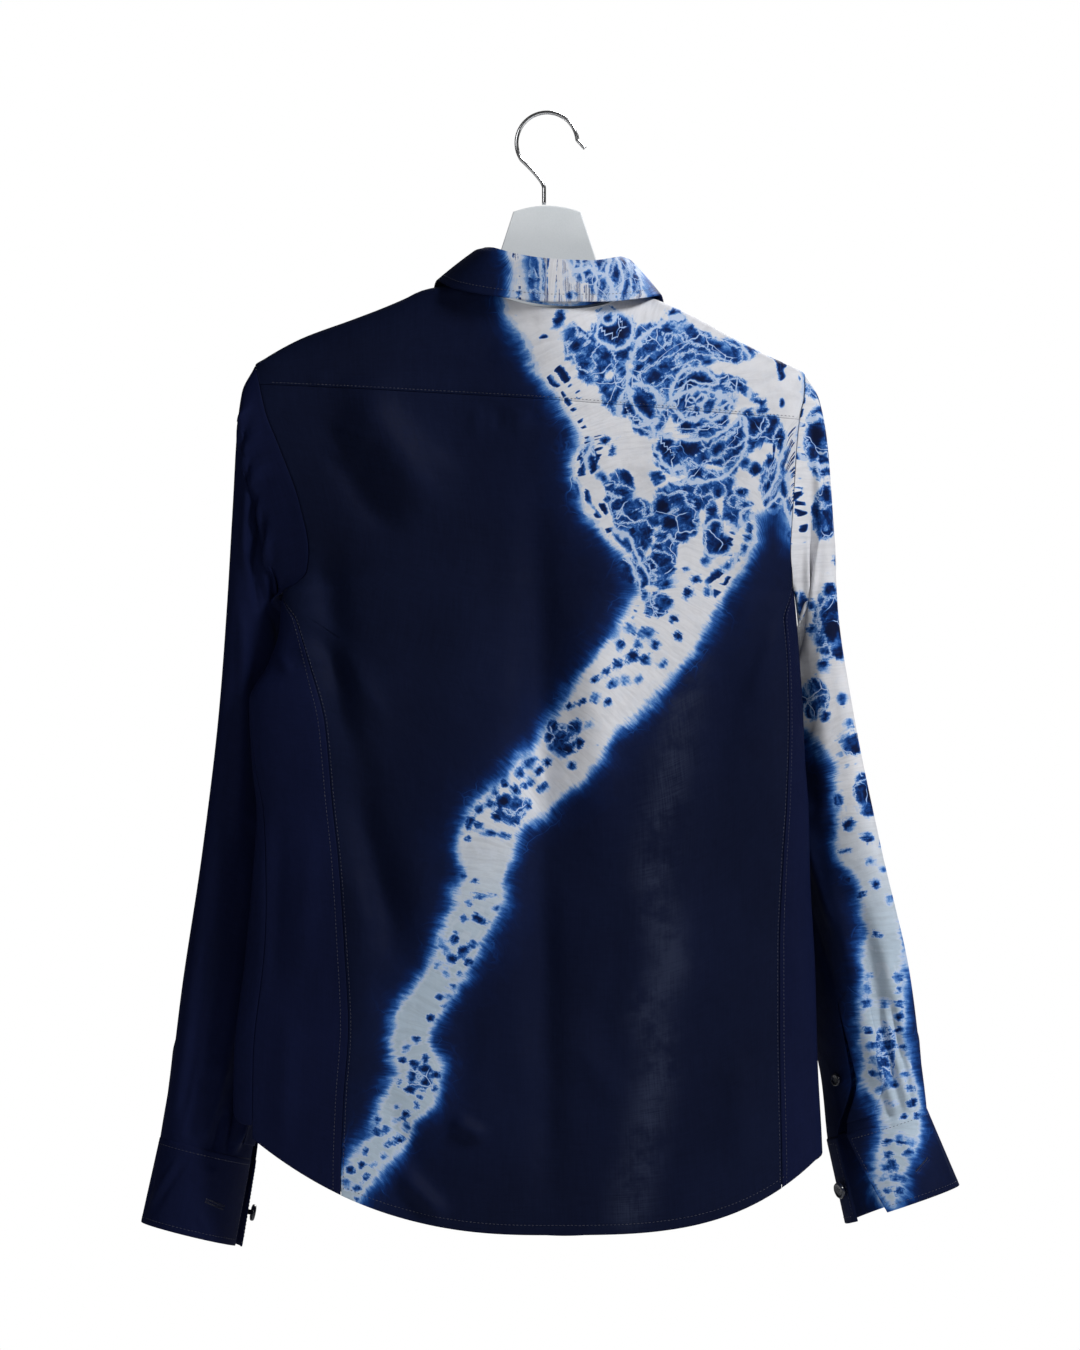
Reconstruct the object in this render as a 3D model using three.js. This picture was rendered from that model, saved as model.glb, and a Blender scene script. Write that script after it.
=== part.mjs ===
// A long-sleeved collared shirt that hangs on a flat hanger, back panel towards -Y and buttoned
// front towards +Y. The origin is the point inside the top of the hook where a rail carries it.
// Lengths are millimetres, +Z is up, and left and right are the wearer's (left is -X).
import * as THREE from 'three';

// Driving sizes
const CLOTH = 1.2; // one layer of shirt cloth
const STIFF = 1.8; // collar and cuffs, which are two layers with an interlining
const SEAM = 0.3; // gap between the pieces at a seam
const ARMHOLE_OPEN = 40; // degrees that the body opens at the middle of each armhole
const ARMHOLE_POWER = 0.6; // under 1 keeps the armholes wide near their ends
const NECK = { x: 5.5, half: 58.5, backDrop: 20, frontDrop: 70, dropPower: 1.2 };
// The body stands out round the neck by depth at the centre, over a width, between two heights
const NECK_BULGE = {
  width: 62, back: { depth: 22, low: -330, high: -160 }, front: { depth: 24, low: -440, high: -205 },
};
const BACK_ROUND = 0.9; // power of the back's rounding across the body
const FRONT_ROUND = 1.15;
const FRONT_CENTRE = 4; // x of the front's centre line
const OVERLAP = 15; // each front runs this far past the centre line
const FRONT_LIFT = 1.4; // the overlapping fronts part by this much on each side
const FRONT_YOKE_DROP = 30; // the yoke comes this far down in front of the shoulder
const FRONT_YOKE_RISE = 4; // crown of the yoke's front seams
const YOKE_SEAM = { centre: -229.5, slope: -0.0664, bend: -0.00004 };
const BACK_HEM = { low: -894, left: [76, 236, 2.45], right: [64, 221, 3.4] }; // rise, half width, power
const FRONT_HEM = { low: -900, centre: 14, rise: 92, half: 236, power: 1.9 };
const NEAR_HEM = -850; // a height just above the hems
const HANGER_THICKNESS = 5;
const WIRE = 1.6; // radius of the hook's wire
const HOOK_RADIUS = 24.4; // of the wire's centre line
const FRONT_BUTTONS = { first: -262, pitch: 84, count: 7, radius: 5.5, thickness: 2.6, shank: 0.6 };
const CUFF_BUTTON = { radius: 6.8, thickness: 3.2, shank: 2.4, down: 0.6, fromEnd: 9 };
const PLACKET_BUTTON = { radius: 5, thickness: 2.4, shank: 0.6, t: 0.9, below: 18 };

// The body's outline and depth by height. Above the shoulder points left and right are the
// shoulder slopes, then the armhole seams, and below the underarms the sides.
const BODY = {
  columns: ['z', 'left', 'right', 'back', 'front'],
  rows: [
    [-904, -250, 222, 38, 38], [-831, -251, 220, 38, 38], [-754, -250, 216, 39, 39],
    [-682, -242, 214, 40, 40], [-608, -235, 210, 41, 41], [-558, -232, 209, 42, 42],
    [-516, -236, 206, 43, 43], [-469, -238, 204, 43, 43], [-440, -223, 202, 42, 42],
    [-414, -214, 200, 41, 42], [-382, -211, 197, 40, 41], [-376, -201, 196, 40, 41],
    [-366, -192, 195, 39, 41], [-350, -190, 194, 38, 40], [-312, -197, 196, 36, 38],
    [-265, -214, 199, 34, 36], [-240, -224, 202, 32, 34], [-228, -227, 205, 32, 33],
    [-209, -231, 206, 30, 31], [-201, -233, 194, 29, 30], [-196, -226, 182, 29, 29],
    [-180, -197, 150, 28, 28], [-164, -154, 121, 26, 26], [-156, -133, 105, 26, 26],
    [-148, -114, 86, 25, 25], [-141, -99, 64, 25, 25], [-133, -53, 46, 24, 24],
  ],
};
const SHOULDER = { left: -201, right: -209 }; // heights where the slopes end
const UNDERARM = { left: -382, right: -380 };
const NECK_POINT = { left: -133, right: -141 };

// Back princess seams, x by height
const PRINCESS = {
  columns: ['z', 'left', 'right'],
  rows: [
    [-904, -164, 187], [-846, -164, 187], [-788, -162, 186], [-728, -158, 185],
    [-668, -161, 185], [-596, -166, 188], [-550, -171, 191], [-486, -177, 193],
    [-438, -190, 192], [-402, -201, 189],
  ],
};
const PRINCESS_TOP = { left: -377, right: -362 }; // where the seams leave the armholes
const SIDE_SEAM = { left: -69, right: 118 }; // degrees round the body, 0 at the centre of the back
const SIDE_VENT = -808; // the fronts' hem starts here at the side seams
const COLLAR_OVERLAP = 184; // degrees round the neck to each end of the collar stand
const STAND_DROP = 4; // the stand ends this far under the leaf's fold
// The slit in each sleeve starts at top and turns towards the cuff's end after turn, both as
// shares of the sleeve. Its strip is width degrees wide.
const PLACKET = { width: 32, top: 0.8, turn: 0.9, edge: 0.03, lift: CLOTH + 0.6 };

// Large folds of the back: a line from (x0, z0) to (x1, z1), its width, and its height out of
// the cloth (negative for a hollow)
const FOLDS = {
  columns: ['x0', 'z0', 'x1', 'z1', 'width', 'height'],
  rows: [
    [-166, -212, -88, -330, 28, 6], [-176, -330, -160, -480, 26, -5], [-162, -500, -106, -690, 26, -5],
    [2, -290, 2, -930, 27, -6], [176, -280, 184, -660, 28, 5], [-132, -800, -74, -900, 28, -4],
    [-28, -790, 44, -716, 30, 4], [-66, -330, -66, -640, 32, 4], [84, -500, 68, -930, 34, 4],
  ],
};

// Sleeves: over-arm line, under-arm line and the half-depth towards the back, from the armhole
// to the cuff
const SLEEVE_COLUMNS = ['t', 'ox', 'oy', 'oz', 'ix', 'iy', 'iz', 'bx', 'by'];
const SLEEVES = {
  left: [
    [0.00, -233, 0, -201, -211, 0, -382, 14, -24],
    [0.04, -243, -2, -222, -221, 12, -391, -2, -21],
    [0.12, -248, -4, -262, -212, 32, -412, 2, -18],
    [0.22, -251, 0, -320, -213, 46, -440, 5, -18],
    [0.32, -255, 9, -390, -201, 62, -474, 8, -17],
    [0.46, -262, 19, -480, -192, 80, -530, 10, -16],
    [0.62, -275, 24, -590, -194, 86, -618, 12, -18],
    [0.78, -290, 24, -690, -212, 84, -706, 12, -22],
    [0.90, -301, 26, -770, -232, 78, -788, 8, -28],
    [1.00, -309, 34, -820, -240, 60, -838, 3, -32],
  ],
  right: [
    [0.00, 206, 0, -209, 197, 0, -380, 0, -25],
    [0.04, 217, -2, -228, 200, 8, -392, 2, -22],
    [0.12, 224, -4, -266, 202, 22, -414, 0, -20],
    [0.22, 228, 0, -322, 200, 42, -440, -5, -19],
    [0.32, 231, 6, -390, 194, 62, -474, -8, -18],
    [0.46, 244, 12, -478, 186, 80, -530, -10, -19],
    [0.62, 266, 16, -586, 190, 86, -616, -12, -21],
    [0.78, 289, 18, -686, 208, 82, -704, -12, -25],
    [0.90, 299, 24, -758, 224, 74, -778, -8, -31],
    [1.00, 303, 34, -798, 229, 58, -820, -2, -34],
  ],
};

// Cuffs: centre, outward and backward half-widths at the top and bottom edge, the angles round
// the wrist where the buttonhole end (top and bottom corner) and the button end lie (0 outward,
// 90 backward), and how far the button end stands out, over the last part of the strip
const FLARE_FROM = 0.75;
const CUFFS = {
  left: { top: [-274.5, 47, -829.5], bottom: [-288, 47, -899], out: [-36, -13, 9.6],
    outBottom: [-38, -10, 10], back: [3, -32, 0], backBottom: [3, -35, 0],
    start: 163, startBottom: 158, end: -188, flare: 1.08, slit: 163 },
  right: { top: [266, 46, -809.5], bottom: [287, 46, -875], out: [38.5, -12, 13],
    outBottom: [44.5, -8, 15.5], back: [-2, -34, 0], backBottom: [-2, -38, 0],
    start: 128, startBottom: 106, end: -219, flare: 1.04, slit: 98 },
};

// Collar leaf by the angle round the neck: its fold line and its outer edge
const LEAF = {
  columns: ['angle', 'fx', 'fy', 'fz', 'ex', 'ey', 'ez'],
  rows: [
    [-176, 1, 52, -176, -42, 62, -254], [-150, -22, 47, -163, -70, 54, -222],
    [-120, -42, 28, -131, -92, 38, -168], [-105, -47, 14, -116, -91, 19, -141],
    [-90, -49, 1, -107, -88, 2, -133.5],
    [-60, -43, -24, -108, -74, -31, -141], [-30, -23, -41, -114, -40, -47, -148],
    [0, 5, -47, -118, 4, -53, -152.5], [30, 33, -41, -119, 46, -47, -152],
    [60, 53, -24, -116, 79, -31, -148], [90, 59, 1, -114, 91, 2, -145],
    [105, 56, 14, -121, 94, 20, -154], [120, 52, 28, -134, 95, 38, -173],
    [150, 33, 47, -165, 76, 54, -226],
    [176, 9, 52, -176, 50, 62, -256],
  ],
};

const RAD = Math.PI / 180;
const V = (x, y, z) => new THREE.Vector3(x, y, z);
const mix = (a, b, t) => a + (b - a) * t;
const clamp = (t) => Math.min(1, Math.max(0, t));
const clampTo = (v, most) => Math.min(most, Math.max(-most, v));
const smooth = (from, to, x) => {
  const t = clamp((x - from) / (to - from));
  return t * t * (3 - 2 * t);
};
const vec = (list) => V(...list);
const steps = (n) => Array.from({ length: n + 1 }, (_, i) => i / n);
const sideSign = { left: -1, right: 1 };

// A smooth curve through one column of a table, against its first column, without overshoot.
function column(table, name) {
  const k = table.columns.indexOf(name);
  const x = table.rows.map((r) => r[0]);
  const y = table.rows.map((r) => r[k]);
  const slope = y.slice(1).map((v, i) => (v - y[i]) / (x[i + 1] - x[i]));
  const tangent = y.map((_, i) => {
    if (i === 0) return slope[0];
    if (i === y.length - 1) return slope[i - 1];
    if (slope[i - 1] * slope[i] <= 0) return 0;
    return 2 / (1 / slope[i - 1] + 1 / slope[i]);
  });
  return (at) => {
    let i = 0;
    while (i < x.length - 2 && at > x[i + 1]) i++;
    const h = x[i + 1] - x[i];
    const t = clamp((at - x[i]) / h);
    const t2 = t * t;
    const t3 = t2 * t;
    return (2 * t3 - 3 * t2 + 1) * y[i] + (t3 - 2 * t2 + t) * h * tangent[i]
      + (3 * t2 - 2 * t3) * y[i + 1] + (t3 - t2) * h * tangent[i + 1];
  };
}

const columnsOf = (table, names) => Object.fromEntries(names.map((n) => [n, column(table, n)]));
const body = columnsOf(BODY, BODY.columns.slice(1));
const princess = columnsOf(PRINCESS, ['left', 'right']);
const leaf = columnsOf(LEAF, LEAF.columns.slice(1));

// Across each armhole the back and the front stand apart, so the round that they lie on is wider
// than the cloth there: its half width and centre by height
function spread(side, z) {
  const s = (SHOULDER[side] - z) / (SHOULDER[side] - UNDERARM[side]);
  if (s <= 0 || s >= 1) return 1;
  return Math.cos(ARMHOLE_OPEN * RAD * Math.pow(Math.sin(Math.PI * s), ARMHOLE_POWER));
}
function roundAt(z) {
  const half = (body.right(z) - body.left(z)) / (spread('left', z) + spread('right', z));
  return { half, centre: body.left(z) + half * spread('left', z) };
}

// How far the folds lift a point of the back out of its plain surface. Each one fades at the ends
// of its line.
const FOLD_FADE = { start: 0.3, end: 0.6 };
const EDGE_FADE = 2.2; // the folds also fade towards the body's outline
function foldHeight(x, z) {
  return FOLDS.rows.reduce((sum, [x0, z0, x1, z1, width, height]) => {
    const dx = x1 - x0;
    const dz = z1 - z0;
    const along = ((x - x0) * dx + (z - z0) * dz) / (dx * dx + dz * dz);
    const t = clamp(along);
    const d = Math.hypot(x - x0 - t * dx, z - z0 - t * dz) / width;
    const taper = smooth(0, FOLD_FADE.start, t) * smooth(1, FOLD_FADE.end, t);
    return sum + height * taper * Math.exp(-d * d);
  }, 0);
}

// The body's cloth at x and z, on the back or on the front
function bodyAt(x, z, onBack, lift = 0) {
  const { half, centre } = roundAt(z);
  const c = Math.sqrt(Math.max(0, 1 - ((x - centre) / half) ** 2));
  const bulge = NECK_BULGE[onBack ? 'back' : 'front'];
  const across = Math.exp(-(((x - NECK.x) / NECK_BULGE.width) ** 2));
  const out = bulge.depth * across * smooth(bulge.low, bulge.high, z);
  if (!onBack) return V(x, (body.front(z) + out) * Math.pow(c, FRONT_ROUND) + lift, z);
  const folds = foldHeight(x, z) * Math.min(1, c * EDGE_FADE);
  return V(x, -(body.back(z) + out) * Math.pow(c, BACK_ROUND) - folds - lift, z);
}

// The same by the angle round the body: 0 is the middle of the back, 90 degrees the right edge
const middleAt = (z) => (body.left(z) + body.right(z)) / 2;
const halfAt = (z) => (body.right(z) - body.left(z)) / 2;
const xAt = (angle, z) => middleAt(z) + halfAt(z) * Math.sin(angle);
const bodyPoint = (angle, z, lift = 0) => bodyAt(xAt(angle, z), z, Math.cos(angle) >= 0, lift);
function angleAt(x, z, onBack) {
  const a = Math.asin(clampTo((x - middleAt(z)) / halfAt(z), 1));
  return onBack ? a : (a >= 0 ? Math.PI - a : -Math.PI - a);
}

// Seam lines of the body
const yokeSeam = (x) => YOKE_SEAM.centre + YOKE_SEAM.slope * x + YOKE_SEAM.bend * x * x;
function backHem(x) {
  const [rise, half, power] = x < 0 ? BACK_HEM.left : BACK_HEM.right;
  return BACK_HEM.low + rise * Math.pow(Math.abs(x) / half, power);
}
const frontHem = (x) => FRONT_HEM.low
  + FRONT_HEM.rise * Math.pow(Math.abs(x - FRONT_HEM.centre) / FRONT_HEM.half, FRONT_HEM.power);

// The neck seam: angle 0 at the centre of the back, 180 at the centre of the front
function neckLine(angle) {
  const x = NECK.x + NECK.half * Math.sin(angle);
  const shoulder = mix(NECK_POINT.left, NECK_POINT.right, (Math.sin(angle) + 1) / 2);
  const c = Math.cos(angle);
  const drop = c > 0 ? NECK.backDrop : NECK.frontDrop;
  return { x, z: shoulder - drop * Math.pow(Math.abs(c), NECK.dropPower), onBack: c >= 0 };
}
function neckPoint(angle, lift = 0) {
  const n = neckLine(angle);
  return bodyAt(n.x, n.z, n.onBack, lift);
}

// Height of the shoulder slope at x, found by halving
function slopeHeight(side, x) {
  let low = SHOULDER[side];
  let high = NECK_POINT[side];
  for (let i = 0; i < 40; i++) {
    const mid = (low + high) / 2;
    if (sideSign[side] * (body[side](mid) - x) > 0) low = mid;
    else high = mid;
  }
  return (low + high) / 2;
}

// A closed wall of cloth round patches of points. Patches that share an edge are welded, and
// the free edges are drawn in by half a seam gap, at a sharp corner no further than MITRE allows.
const MITRE = 0.25;
function wall(patches, thickness, inset = SEAM / 2) {
  const points = [];
  const found = new Map();
  const triangles = [];
  const vertex = (p) => {
    const key = [p.x, p.y, p.z].map((v) => Math.round(v * 1e4)).join();
    if (!found.has(key)) {
      found.set(key, points.length);
      points.push(p.clone());
    }
    return found.get(key);
  };
  for (const { rows, flip = false } of patches) {
    for (let j = 0; j < rows.length - 1; j++) {
      for (let i = 0; i < rows[0].length - 1; i++) {
        const q = [rows[j][i], rows[j][i + 1], rows[j + 1][i + 1], rows[j + 1][i]].map(vertex);
        const pair = (i + j) % 2 ? [[q[0], q[1], q[2]], [q[0], q[2], q[3]]]
          : [[q[0], q[1], q[3]], [q[1], q[2], q[3]]];
        for (const t of pair) {
          if (new Set(t).size === 3) triangles.push(flip ? [t[0], t[2], t[1]] : t);
        }
      }
    }
  }
  const normals = points.map(() => V(0, 0, 0));
  for (const [a, b, c] of triangles) {
    const n = points[b].clone().sub(points[a]).cross(points[c].clone().sub(points[a]));
    [a, b, c].forEach((k) => normals[k].add(n));
  }
  normals.forEach((n) => n.normalize());
  const edges = new Set(triangles.flatMap(([a, b, c]) => [`${a},${b}`, `${b},${c}`, `${c},${a}`]));
  const rim = [...edges].map((e) => e.split(',').map(Number))
    .filter(([a, b]) => !edges.has(`${b},${a}`));
  const inward = new Map();
  for (const [a, b] of rim) {
    for (const k of [a, b]) {
      const d = normals[k].clone().cross(points[b].clone().sub(points[a])).normalize();
      inward.set(k, [...(inward.get(k) || []), d]);
    }
  }
  const flat = points.map((p) => p.clone());
  for (const [k, dirs] of inward) {
    const sum = dirs.reduce((s, d) => s.add(d), V(0, 0, 0));
    const open = dirs.length > 1 ? 1 + dirs[0].dot(dirs[1]) : 1;
    flat[k].addScaledVector(sum, inset / Math.max(MITRE, open));
  }
  const n = flat.length;
  const position = [];
  for (const lift of [thickness / 2, -thickness / 2]) {
    flat.forEach((p, k) => position.push(...p.clone().addScaledVector(normals[k], lift).toArray()));
  }
  const index = triangles.flatMap(([a, b, c]) => [a, b, c, c + n, b + n, a + n]);
  for (const [a, b] of rim) index.push(b, a, a + n, b, a + n, b + n);
  const geometry = new THREE.BufferGeometry();
  geometry.setAttribute('position', new THREE.Float32BufferAttribute(position, 3));
  geometry.setIndex(index);
  return geometry;
}

const grid = (us, vs, point) => vs.map((v) => us.map((u) => point(u, v)));

// Fills a patch between four border curves, each from 0 to 1, that hold [angle, height]. It is
// ruled from the bottom to the top, and the side borders bend the columns near them, fewer of
// them the higher the reach.
function patchBetween(bottom, top, left, right, reach = 3) {
  const ruled = (u, v, k) => mix(bottom(u)[k], top(u)[k], v);
  return (u, v) => [0, 1].map((k) => ruled(u, v, k)
    + (1 - u) ** reach * (left(v)[k] - ruled(0, v, k))
    + u ** reach * (right(v)[k] - ruled(1, v, k)));
}

// Materials
const cloth = (color) => new THREE.MeshStandardMaterial({ color, roughness: 0.72, metalness: 0 });
const navy = cloth(0x10163a);
const dyed = cloth(0x5f78ad);
const buttonCloth = cloth(0x0c1028);
const steel = new THREE.MeshStandardMaterial({ color: 0xb9c0c6, roughness: 0.18, metalness: 1 });
const board = new THREE.MeshStandardMaterial({ color: 0xc9ced6, roughness: 0.6, metalness: 0 });

const shirt = new THREE.Group();
function add(name, geometry, material) {
  const mesh = new THREE.Mesh(geometry, material);
  mesh.name = name;
  shirt.add(mesh);
  return mesh;
}

// Shared divisions, so that the pieces meet point to point along their seams
const BELOW = steps(17); // hem to underarm
const ARM_ROWS = steps(8); // armhole, underarm to yoke
const SHOULDER_COLS = [0, 0.04, 0.12, 0.24, 0.4, 0.6, 0.8, 1]; // armhole to neck
const NECK_COLS = steps(8); // across the back of the neck
const BACK_RISE = steps(4); // yoke seam to shoulder line
const FRONT_RISE = steps(3);
const FRONT_NECK = steps(5);
const YOKE_FRONT_ANGLE = 128; // degrees round the neck where the yoke's front seam starts

const frontCorner = (side) => {
  const n = neckLine(sideSign[side] * YOKE_FRONT_ANGLE * RAD);
  return { x: n.x, z: n.z };
};
// Height of the yoke's front seam at x
function frontYokeSeam(side, x) {
  const inner = frontCorner(side);
  const outerX = body[side](SHOULDER[side] - FRONT_YOKE_DROP);
  const t = clamp((x - inner.x) / (outerX - inner.x));
  return mix(inner.z, SHOULDER[side] - FRONT_YOKE_DROP, t) + FRONT_YOKE_RISE * Math.sin(Math.PI * t);
}
const armholeBackTop = (side) => yokeSeam(body[side](YOKE_SEAM.centre));
const armholeFrontTop = (side) => SHOULDER[side] - FRONT_YOKE_DROP;

// Yoke: one piece over both shoulders and behind the neck
function shoulderPatch(side) {
  const rise = [...BACK_RISE.map((s) => -1 + s), ...FRONT_RISE.slice(1)];
  const neckX = neckLine(sideSign[side] * Math.PI / 2).x;
  return grid(SHOULDER_COLS, rise, (a, q) => {
    const onBack = q <= 0;
    const s = q * q;
    const xr = mix(body[side](SHOULDER[side]), neckX, a);
    const zr = a === 0 ? SHOULDER[side] : a === 1 ? NECK_POINT[side] : slopeHeight(side, xr);
    if (onBack) {
      const end = armholeBackTop(side);
      const xs = mix(body[side](end), neckX, a);
      const z = mix(zr, a === 0 ? end : yokeSeam(xs), s);
      const x = a === 0 ? body[side](z) : mix(xr, xs, s);
      return bodyAt(x, z, true);
    }
    if (a === 1) return neckPoint(sideSign[side] * mix(90, YOKE_FRONT_ANGLE, q) * RAD);
    const end = armholeFrontTop(side);
    const xs = mix(body[side](end), frontCorner(side).x, a);
    const z = mix(zr, a === 0 ? end : frontYokeSeam(side, xs), s);
    const x = a === 0 ? body[side](z) : mix(xr, xs, s);
    return bodyAt(x, z, false);
  });
}
function yokeBackPatch() {
  return grid(NECK_COLS, BACK_RISE, (a, v) => {
    const n = neckLine(mix(-Math.PI / 2, Math.PI / 2, a));
    const s = (1 - v) * (1 - v);
    return bodyAt(n.x, mix(n.z, yokeSeam(n.x), s), true);
  });
}
add('yoke', wall([
  { rows: shoulderPatch('left') },
  { rows: yokeBackPatch() },
  { rows: shoulderPatch('right'), flip: true },
], CLOTH), dyed);

// Border curves of the lower panels, as [angle, height] by 0 to 1 from the hem up
const EDGE = Math.PI / 2;
const HAIR = 1e-6; // keeps an edge point on the back or on the front
const armholeBorder = (side, onBack, from, to) => (w) => [
  sideSign[side] * (onBack ? EDGE - HAIR : EDGE + HAIR), mix(from, to, w),
];
const hemHeight = (angle, hem) => {
  let z = NEAR_HEM;
  for (let i = 0; i < 12; i++) z = hem(xAt(angle, z));
  return z;
};
// The side seams leave the body's outline below the underarms, and the princess seams reach it
const SIDE_TURN = { high: -388, low: -680 };
const PRINCESS_TURN = -405;
const sideAngle = (side, z) => RAD
  * mix(sideSign[side] * 90, SIDE_SEAM[side], smooth(SIDE_TURN.high, SIDE_TURN.low, z));
function princessAngle(side, z) {
  const top = sideSign[side] * (EDGE - HAIR);
  return mix(angleAt(princess[side](z), z, true), top, smooth(PRINCESS_TURN, PRINCESS_TOP[side], z));
}
// A panel's rows: this share of them runs from the hem to the underarm, the rest up the armhole
const LOWER = 0.65;
const JOINED = [
  ...BELOW.map((v) => v * LOWER),
  ...ARM_ROWS.slice(1).map((v) => mix(LOWER, 1, v)),
];
const joined = (lower, upper) => (v) => (
  v <= LOWER ? lower(v / LOWER) : upper((v - LOWER) / (1 - LOWER)));

function princessBorder(side) {
  const bottom = backHem(princess[side](NEAR_HEM));
  return (w) => {
    const z = mix(bottom, PRINCESS_TOP[side], w);
    return [princessAngle(side, z), z];
  };
}
function sideBorder(side) {
  const bottom = hemHeight(SIDE_SEAM[side] * RAD, side === 'left' ? backHem : frontHem);
  return (w) => {
    const z = mix(bottom, UNDERARM[side], w);
    return [sideAngle(side, z), z];
  };
}

// Back panel, with its columns on the yoke's: the neck's lie between NECK_FROM and NECK_TO
const NECK_FROM = 0.35;
const NECK_TO = 0.65;
const backColumns = [
  ...SHOULDER_COLS.map((a) => a * NECK_FROM),
  ...NECK_COLS.slice(1).map((a) => mix(NECK_FROM, NECK_TO, a)),
  ...SHOULDER_COLS.slice(1).map((a) => 1 - (1 - a) * (1 - NECK_TO)),
];
function backTop(u) {
  const neckX = (side) => neckLine(sideSign[side] * Math.PI / 2).x;
  const neckAngle = mix(-Math.PI / 2, Math.PI / 2, (u - NECK_FROM) / (NECK_TO - NECK_FROM));
  let x;
  if (u < NECK_FROM) x = mix(body.left(armholeBackTop('left')), neckX('left'), u / NECK_FROM);
  else if (u <= NECK_TO) x = neckLine(neckAngle).x;
  else x = mix(neckX('right'), body.right(armholeBackTop('right')), (u - NECK_TO) / (1 - NECK_TO));
  if (u === 0) return [HAIR - EDGE, armholeBackTop('left')];
  if (u === 1) return [EDGE - HAIR, armholeBackTop('right')];
  return [angleAt(x, yokeSeam(x), true), yokeSeam(x)];
}
function backBottom(u) {
  const a = mix(princessBorder('left')(0)[0], princessBorder('right')(0)[0], u);
  if (u === 0) return princessBorder('left')(0);
  if (u === 1) return princessBorder('right')(0);
  return [a, hemHeight(a, backHem)];
}
const BACK_REACH = 4;
const backSide = (side) => joined(
  princessBorder(side),
  armholeBorder(side, true, PRINCESS_TOP[side], armholeBackTop(side)),
);
const backPatch = patchBetween(backBottom, backTop, backSide('left'), backSide('right'), BACK_REACH);
add('back', wall([{
  rows: grid(backColumns, JOINED, (u, v) => bodyPoint(...backPatch(u, v))),
}], CLOTH), dyed);

// Side panels, from the princess seam to the side seam
const SIDE_INSET = 0.25; // a little more than half a seam gap, for the narrow points at the armholes
const SIDE_COLS = [0, 0.3, 0.55, 0.76, 0.91, 1];
function sidePanel(side) {
  const inner = princessBorder(side);
  const outer = sideBorder(side);
  const bottom = (u) => {
    if (u === 0) return inner(0);
    if (u === 1) return outer(0);
    const a = mix(inner(0)[0], outer(0)[0], u);
    return [a, Math.abs(a) > Math.PI / 2 ? outer(0)[1] : hemHeight(a, backHem)];
  };
  const top = armholeBorder(side, true, PRINCESS_TOP[side], UNDERARM[side]);
  const patch = patchBetween(bottom, top, inner, outer, 1);
  return grid(SIDE_COLS, BELOW, (u, v) => bodyPoint(...patch(u, v)));
}
add('side_left', wall([{ rows: sidePanel('left'), flip: true }], CLOTH, SIDE_INSET), navy);
add('side_right', wall([{ rows: sidePanel('right') }], CLOTH, SIDE_INSET), navy);

// Fronts, which overlap along the centre with the left one outside. Their columns up to FRONT_SPLIT
// end on the yoke, and the rest on the neck seam.
const FRONT_SPLIT = 0.6;
const frontColumns = [
  ...SHOULDER_COLS.map((a) => a * FRONT_SPLIT),
  ...FRONT_NECK.slice(1).map((a) => mix(FRONT_SPLIT, 1, a)),
];
const frontEdge = (side) => FRONT_CENTRE - sideSign[side] * OVERLAP;
const frontNeckEnd = (side) => Math.PI
  - Math.asin((frontEdge(side) - NECK.x) / NECK.half) * sideSign[side];
function frontPanel(side) {
  const sign = sideSign[side];
  const edgeX = frontEdge(side);
  const neckEnd = frontNeckEnd(side);
  const seam = sideBorder(side);
  const vented = (w) => (w > 0 ? seam(w) : [sideAngle(side, SIDE_VENT), SIDE_VENT]);
  const outer = joined(vented, armholeBorder(side, false, UNDERARM[side], armholeFrontTop(side)));
  const wrap = (a) => (sign * a < 0 ? a + sign * 2 * Math.PI : a);
  const at = (x, z) => [wrap(angleAt(x, z, false)), z];
  const top = (u) => {
    if (u === 0) return armholeBorder(side, false, UNDERARM[side], armholeFrontTop(side))(1);
    if (u <= FRONT_SPLIT) {
      const x = mix(body[side](armholeFrontTop(side)), frontCorner(side).x, u / FRONT_SPLIT);
      return at(x, frontYokeSeam(side, x));
    }
    const n = neckLine(sign * mix(YOKE_FRONT_ANGLE * RAD, neckEnd, (u - FRONT_SPLIT) / (1 - FRONT_SPLIT)));
    return at(n.x, n.z);
  };
  const bottomEnd = at(edgeX, frontHem(edgeX));
  const bottom = (u) => {
    if (u === 0) return outer(0);
    const a = mix(outer(0)[0], bottomEnd[0], u);
    const z = hemHeight(a, frontHem);
    return [a, mix(outer(0)[1], z, smooth(0, 0.35, u))];
  };
  const inner = (v) => {
    const z = mix(frontHem(edgeX), top(1)[1], v);
    return at(edgeX, z);
  };
  const patch = patchBetween(bottom, top, outer, inner);
  const lift = (u) => (side === 'left' ? FRONT_LIFT : -FRONT_LIFT) * smooth(0.7, 0.9, u);
  return grid(frontColumns, JOINED, (u, v) => {
    const [a, z] = patch(u, v);
    return bodyPoint(a, z, Math.abs(a) > Math.PI / 2 ? lift(u) : 0);
  });
}
add('front_left', wall([{ rows: frontPanel('left'), flip: true }], CLOTH), navy);
add('front_right', wall([{ rows: frontPanel('right') }], CLOTH), dyed);

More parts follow.
